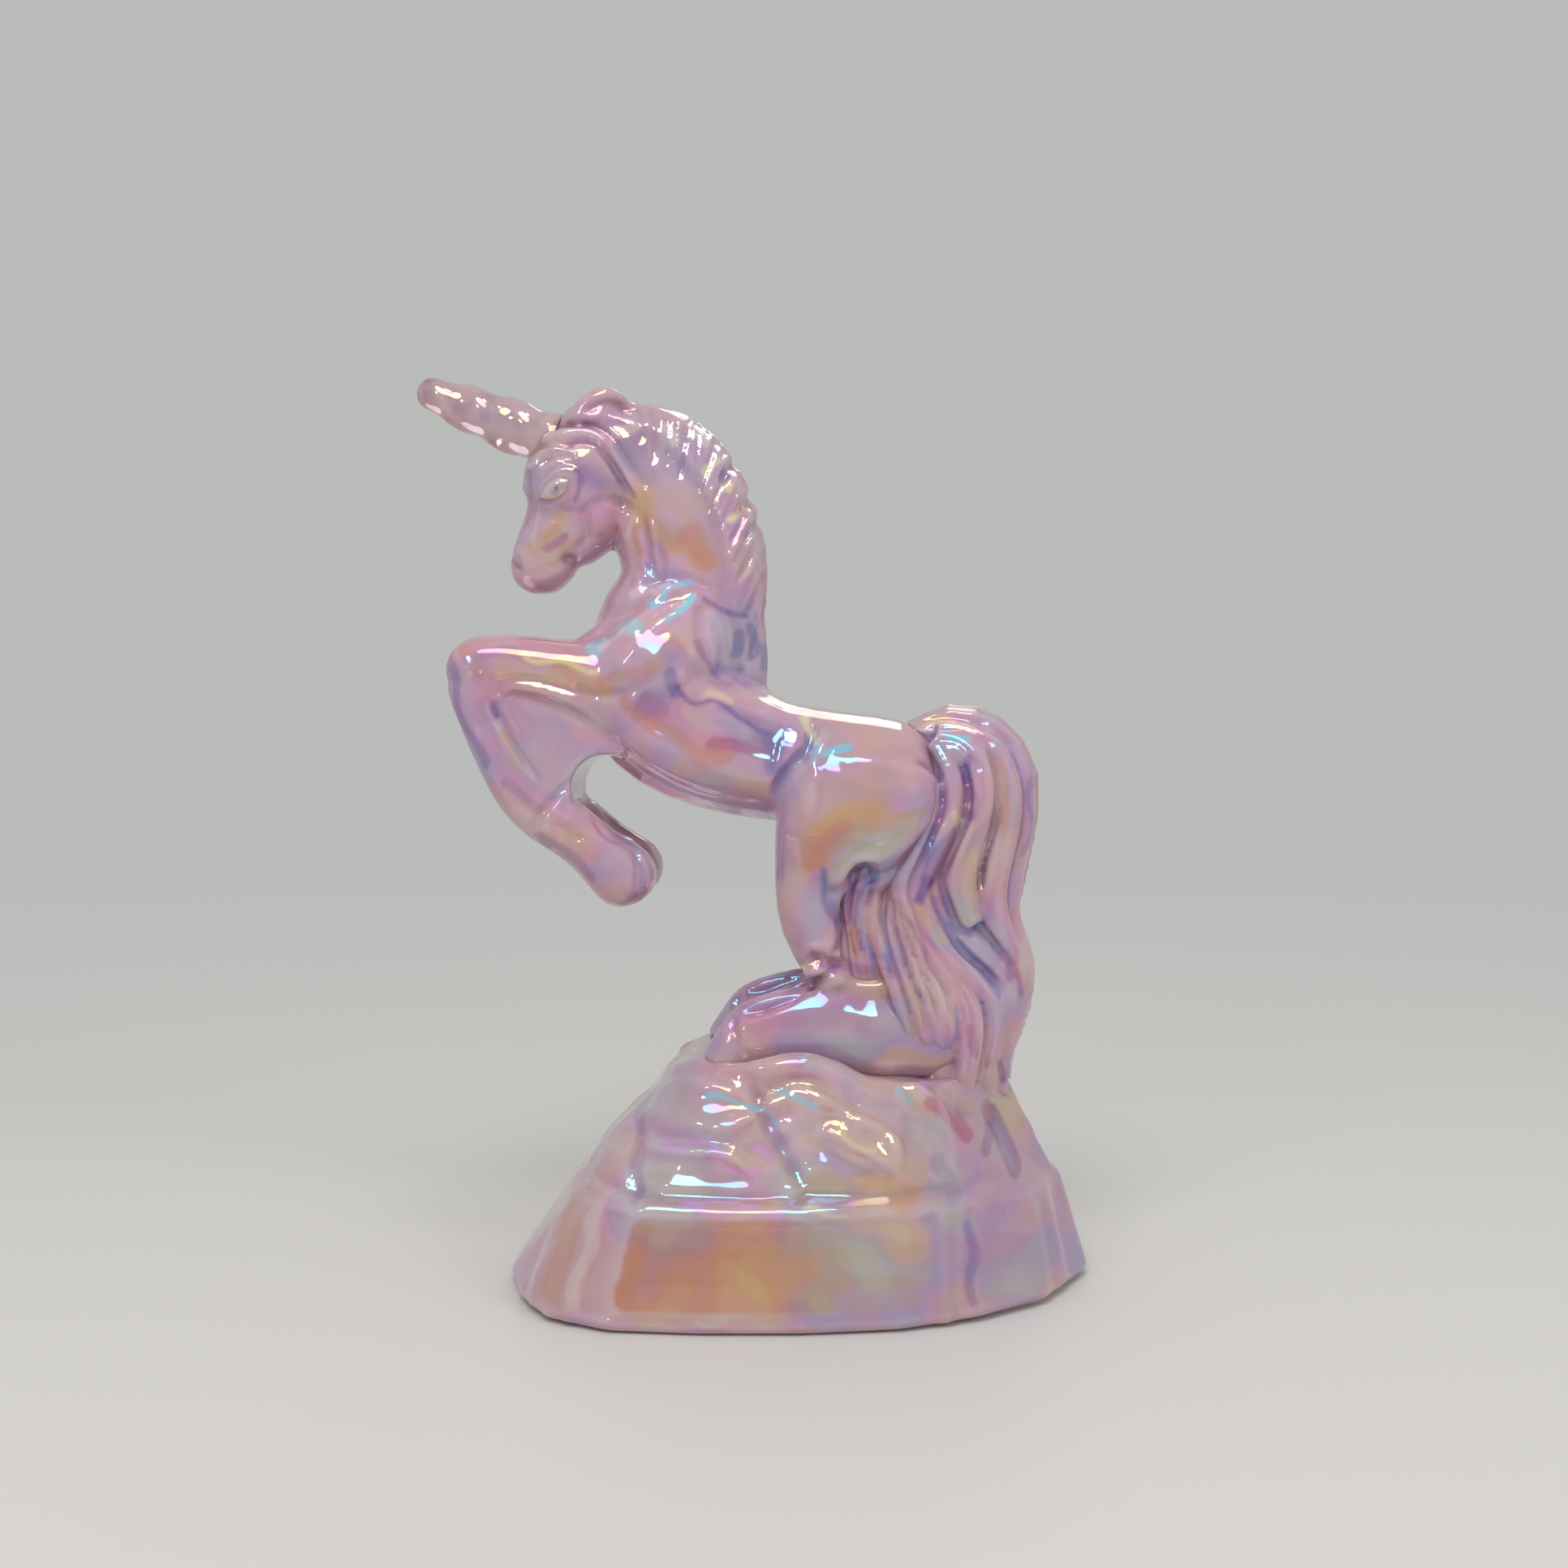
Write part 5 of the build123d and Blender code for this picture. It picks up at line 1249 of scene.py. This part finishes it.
class UNICORN_OT_horn(bpy.types.Operator):
    """Builds the twisted horn"""

    bl_idname = "unicorn.horn"
    bl_label = "Horn"

    def execute(self, context):
        glass = context.scene.unicorn_glass
        material = glass_material("Clear glass", glass, 60.0, 0.45, glass.horn_clearness)
        mesh = horn_mesh(context.scene.unicorn_horn, material)
        mark_hollows(mesh)
        paint(mesh, glass, HORN_WASHES)
        finish_piece("horn", mesh, material, ["horn"])
        return {"FINISHED"}


class UNICORN_OT_eyes(bpy.types.Operator):
    """Builds the two almond eyes"""

    bl_idname = "unicorn.eyes"
    bl_label = "Eyes"

    def execute(self, context):
        glass = context.scene.unicorn_glass
        material = glass_material("Eye glass", glass, 160.0, 0.48, glass.clearness)
        for name, side in (("left_eye", -1), ("right_eye", 1)):
            mesh = eye_mesh(name, side)
            mark_hollows(mesh)
            paint(mesh, glass, [], EYE_WASHES)
            finish_piece(name, mesh, material, [name])
        return {"FINISHED"}


class UNICORN_OT_base(bpy.types.Operator):
    """Builds the faceted foot and the rock"""

    bl_idname = "unicorn.base"
    bl_label = "Base"

    def execute(self, context):
        glass, skin = context.scene.unicorn_glass, context.scene.unicorn_skin
        material = glass_material("Base glass", glass, 34.0, 0.62, glass.clearness)
        forms = bmesh.new()
        add_nodes(forms, BASE_NODES, skin.base_swell)
        lock_forms(forms, BANK_FORMS, material)
        mesh = fused("base", forms, skin.base_grid)
        settle(mesh, skin.base_rounding)
        relax(mesh, skin.base_passes)
        ripple(mesh, skin.ripple, *ROCK_HEIGHTS)
        work(mesh, ROCK_STROKES, FACING_ROCK)
        relax(mesh, 2)
        mark_hollows(mesh)
        paint(mesh, glass, BASE_WASHES, PANEL_WASHES + FOOT_WASHES)
        finish_piece("base", mesh, material, BASE_NODES)
        return {"FINISHED"}


def floor_piece(stage):
    """A pale round table top that fades into the backdrop."""
    disc = bmesh.new()
    bmesh.ops.create_circle(disc, cap_ends=True, segments=FLOOR_SIDES, radius=FLOOR_RADIUS)
    mesh = bpy.data.meshes.new("floor")
    disc.to_mesh(mesh)
    disc.free()
    material = bpy.data.materials.new("Floor")
    material.use_nodes = True
    tree = material.node_tree
    far = tree.nodes.new("ShaderNodeVectorMath")
    far.operation = "LENGTH"
    feed(tree, far.inputs[0], output(tree, "ShaderNodeTexCoord", "Object"))
    fade = node(tree, "ShaderNodeMapRange", Value=far.outputs["Value"], To_Min=1.0, To_Max=0.0)
    fade.inputs["From Min"].default_value, fade.inputs["From Max"].default_value = FLOOR_FADE
    fade.interpolation_type = "SMOOTHSTEP"
    surface_inputs = {"Base Color": (*stage.floor, 1), "Roughness": 0.7, "Alpha": fade.outputs[0]}
    for socket, value in surface_inputs.items():
        feed(tree, tree.nodes["Principled BSDF"].inputs[socket], value)
    mesh.materials.append(material)
    return new_object("floor", mesh)


def studio_world(stage):
    """Even daylight, and the pale backdrop that the camera and the glass see."""
    world = bpy.data.worlds.new("Studio")
    world.use_nodes = True
    tree = world.node_tree
    light = tree.nodes["Background"]
    light.inputs["Color"].default_value = (*stage.sky, 1)
    light.inputs["Strength"].default_value = stage.daylight
    height = node(tree, "ShaderNodeSeparateXYZ", Vector=output(tree, "ShaderNodeTexCoord", "Generated"))
    rise = node(tree, "ShaderNodeMapRange", Value=height.outputs["Z"], From_Min=-0.42, From_Max=-0.05)
    rise.interpolation_type = "SMOOTHSTEP"
    shade = blend(tree, rise.outputs[0], stage.far_floor, stage.wall)
    backdrop = node(tree, "ShaderNodeBackground", Color=shade)
    rays = tree.nodes.new("ShaderNodeLightPath").outputs
    looks = math_node(tree, "MAXIMUM", rays["Is Camera Ray"], rays["Is Transmission Ray"])
    looks = math_node(tree, "MAXIMUM", looks, rays["Is Glossy Ray"])
    mix = tree.nodes.new("ShaderNodeMixShader")
    for socket, value in zip(mix.inputs, (looks, light.outputs[0], backdrop.outputs[0])):
        feed(tree, socket, value)
    feed(tree, tree.nodes["World Output"].inputs["Surface"], mix.outputs[0])
    return world


def area_lamp(name, place, width, power, gleams):
    """A round lamp that faces the figurine. Without gleams, it isn't mirrored in the glass."""
    lamp = bpy.data.lights.new(name, "AREA")
    lamp.shape = "DISK"
    lamp.size = width
    lamp.energy = power
    piece = new_object(name, lamp)
    piece.location = place
    piece.rotation_euler = (Vector(LAMP_TARGET) - Vector(place)).to_track_quat("-Z", "Y").to_euler()
    piece.visible_glossy = gleams


def photo_camera():
    """The camera, placed as the photograph was taken."""
    camera = bpy.data.cameras.new("Camera")
    camera.sensor_width = 36.0
    camera.sensor_fit = "HORIZONTAL"
    camera.lens_unit = "FOV"
    camera.angle = CAMERA_ANGLE
    camera.clip_start = 0.01
    piece = new_object("Camera", camera)
    piece.location = CAMERA_PLACE
    piece.rotation_euler = (CAMERA_PITCH, 0, 0)
    return piece


class UNICORN_OT_stage(bpy.types.Operator):
    """Builds the floor, the light and the camera"""

    bl_idname = "unicorn.stage"
    bl_label = "Stage"

    def execute(self, context):
        scene, stage = context.scene, context.scene.unicorn_stage
        scene.view_settings.view_transform = "Standard"
        floor = floor_piece(stage)
        scene.world = studio_world(stage)
        for lamps, power in ((SOFTBOXES, stage.lamp), (SPARKLES, stage.sparkle)):
            for name, place, width, share, gleams in lamps:
                area_lamp(name, place, width, power * share, gleams)
        scene.camera = photo_camera()
        return {"FINISHED"}


class UNICORN_PT_panel(bpy.types.Panel):
    """Lists the pieces of the figurine"""

    bl_idname = "UNICORN_PT_panel"
    bl_label = "Pressed glass unicorn"
    bl_space_type = "VIEW_3D"
    bl_region_type = "UI"
    bl_category = "Unicorn"

    def draw(self, context):
        for operator in OPERATORS:
            self.layout.operator(operator.bl_idname)


SETTINGS = {
    "unicorn_glass": GlassSettings,
    "unicorn_skin": SkinSettings,
    "unicorn_horn": HornSettings,
    "unicorn_stage": StageSettings,
}
OPERATORS = [
    UNICORN_OT_stage, UNICORN_OT_base, UNICORN_OT_body, UNICORN_OT_tail, UNICORN_OT_horn, UNICORN_OT_eyes,
]


def register():
    for name, settings in SETTINGS.items():
        bpy.utils.register_class(settings)
        setattr(bpy.types.Scene, name, PointerProperty(type=settings))
    for operator in OPERATORS:
        bpy.utils.register_class(operator)
    bpy.utils.register_class(UNICORN_PT_panel)


def unregister():
    bpy.utils.unregister_class(UNICORN_PT_panel)
    for operator in reversed(OPERATORS):
        bpy.utils.unregister_class(operator)
    for name, settings in reversed(SETTINGS.items()):
        delattr(bpy.types.Scene, name)
        bpy.utils.unregister_class(settings)


def main():
    register()
    for operator in OPERATORS:
        group, name = operator.bl_idname.split(".")
        getattr(getattr(bpy.ops, group), name)()


if __name__ == "__main__":
    main()
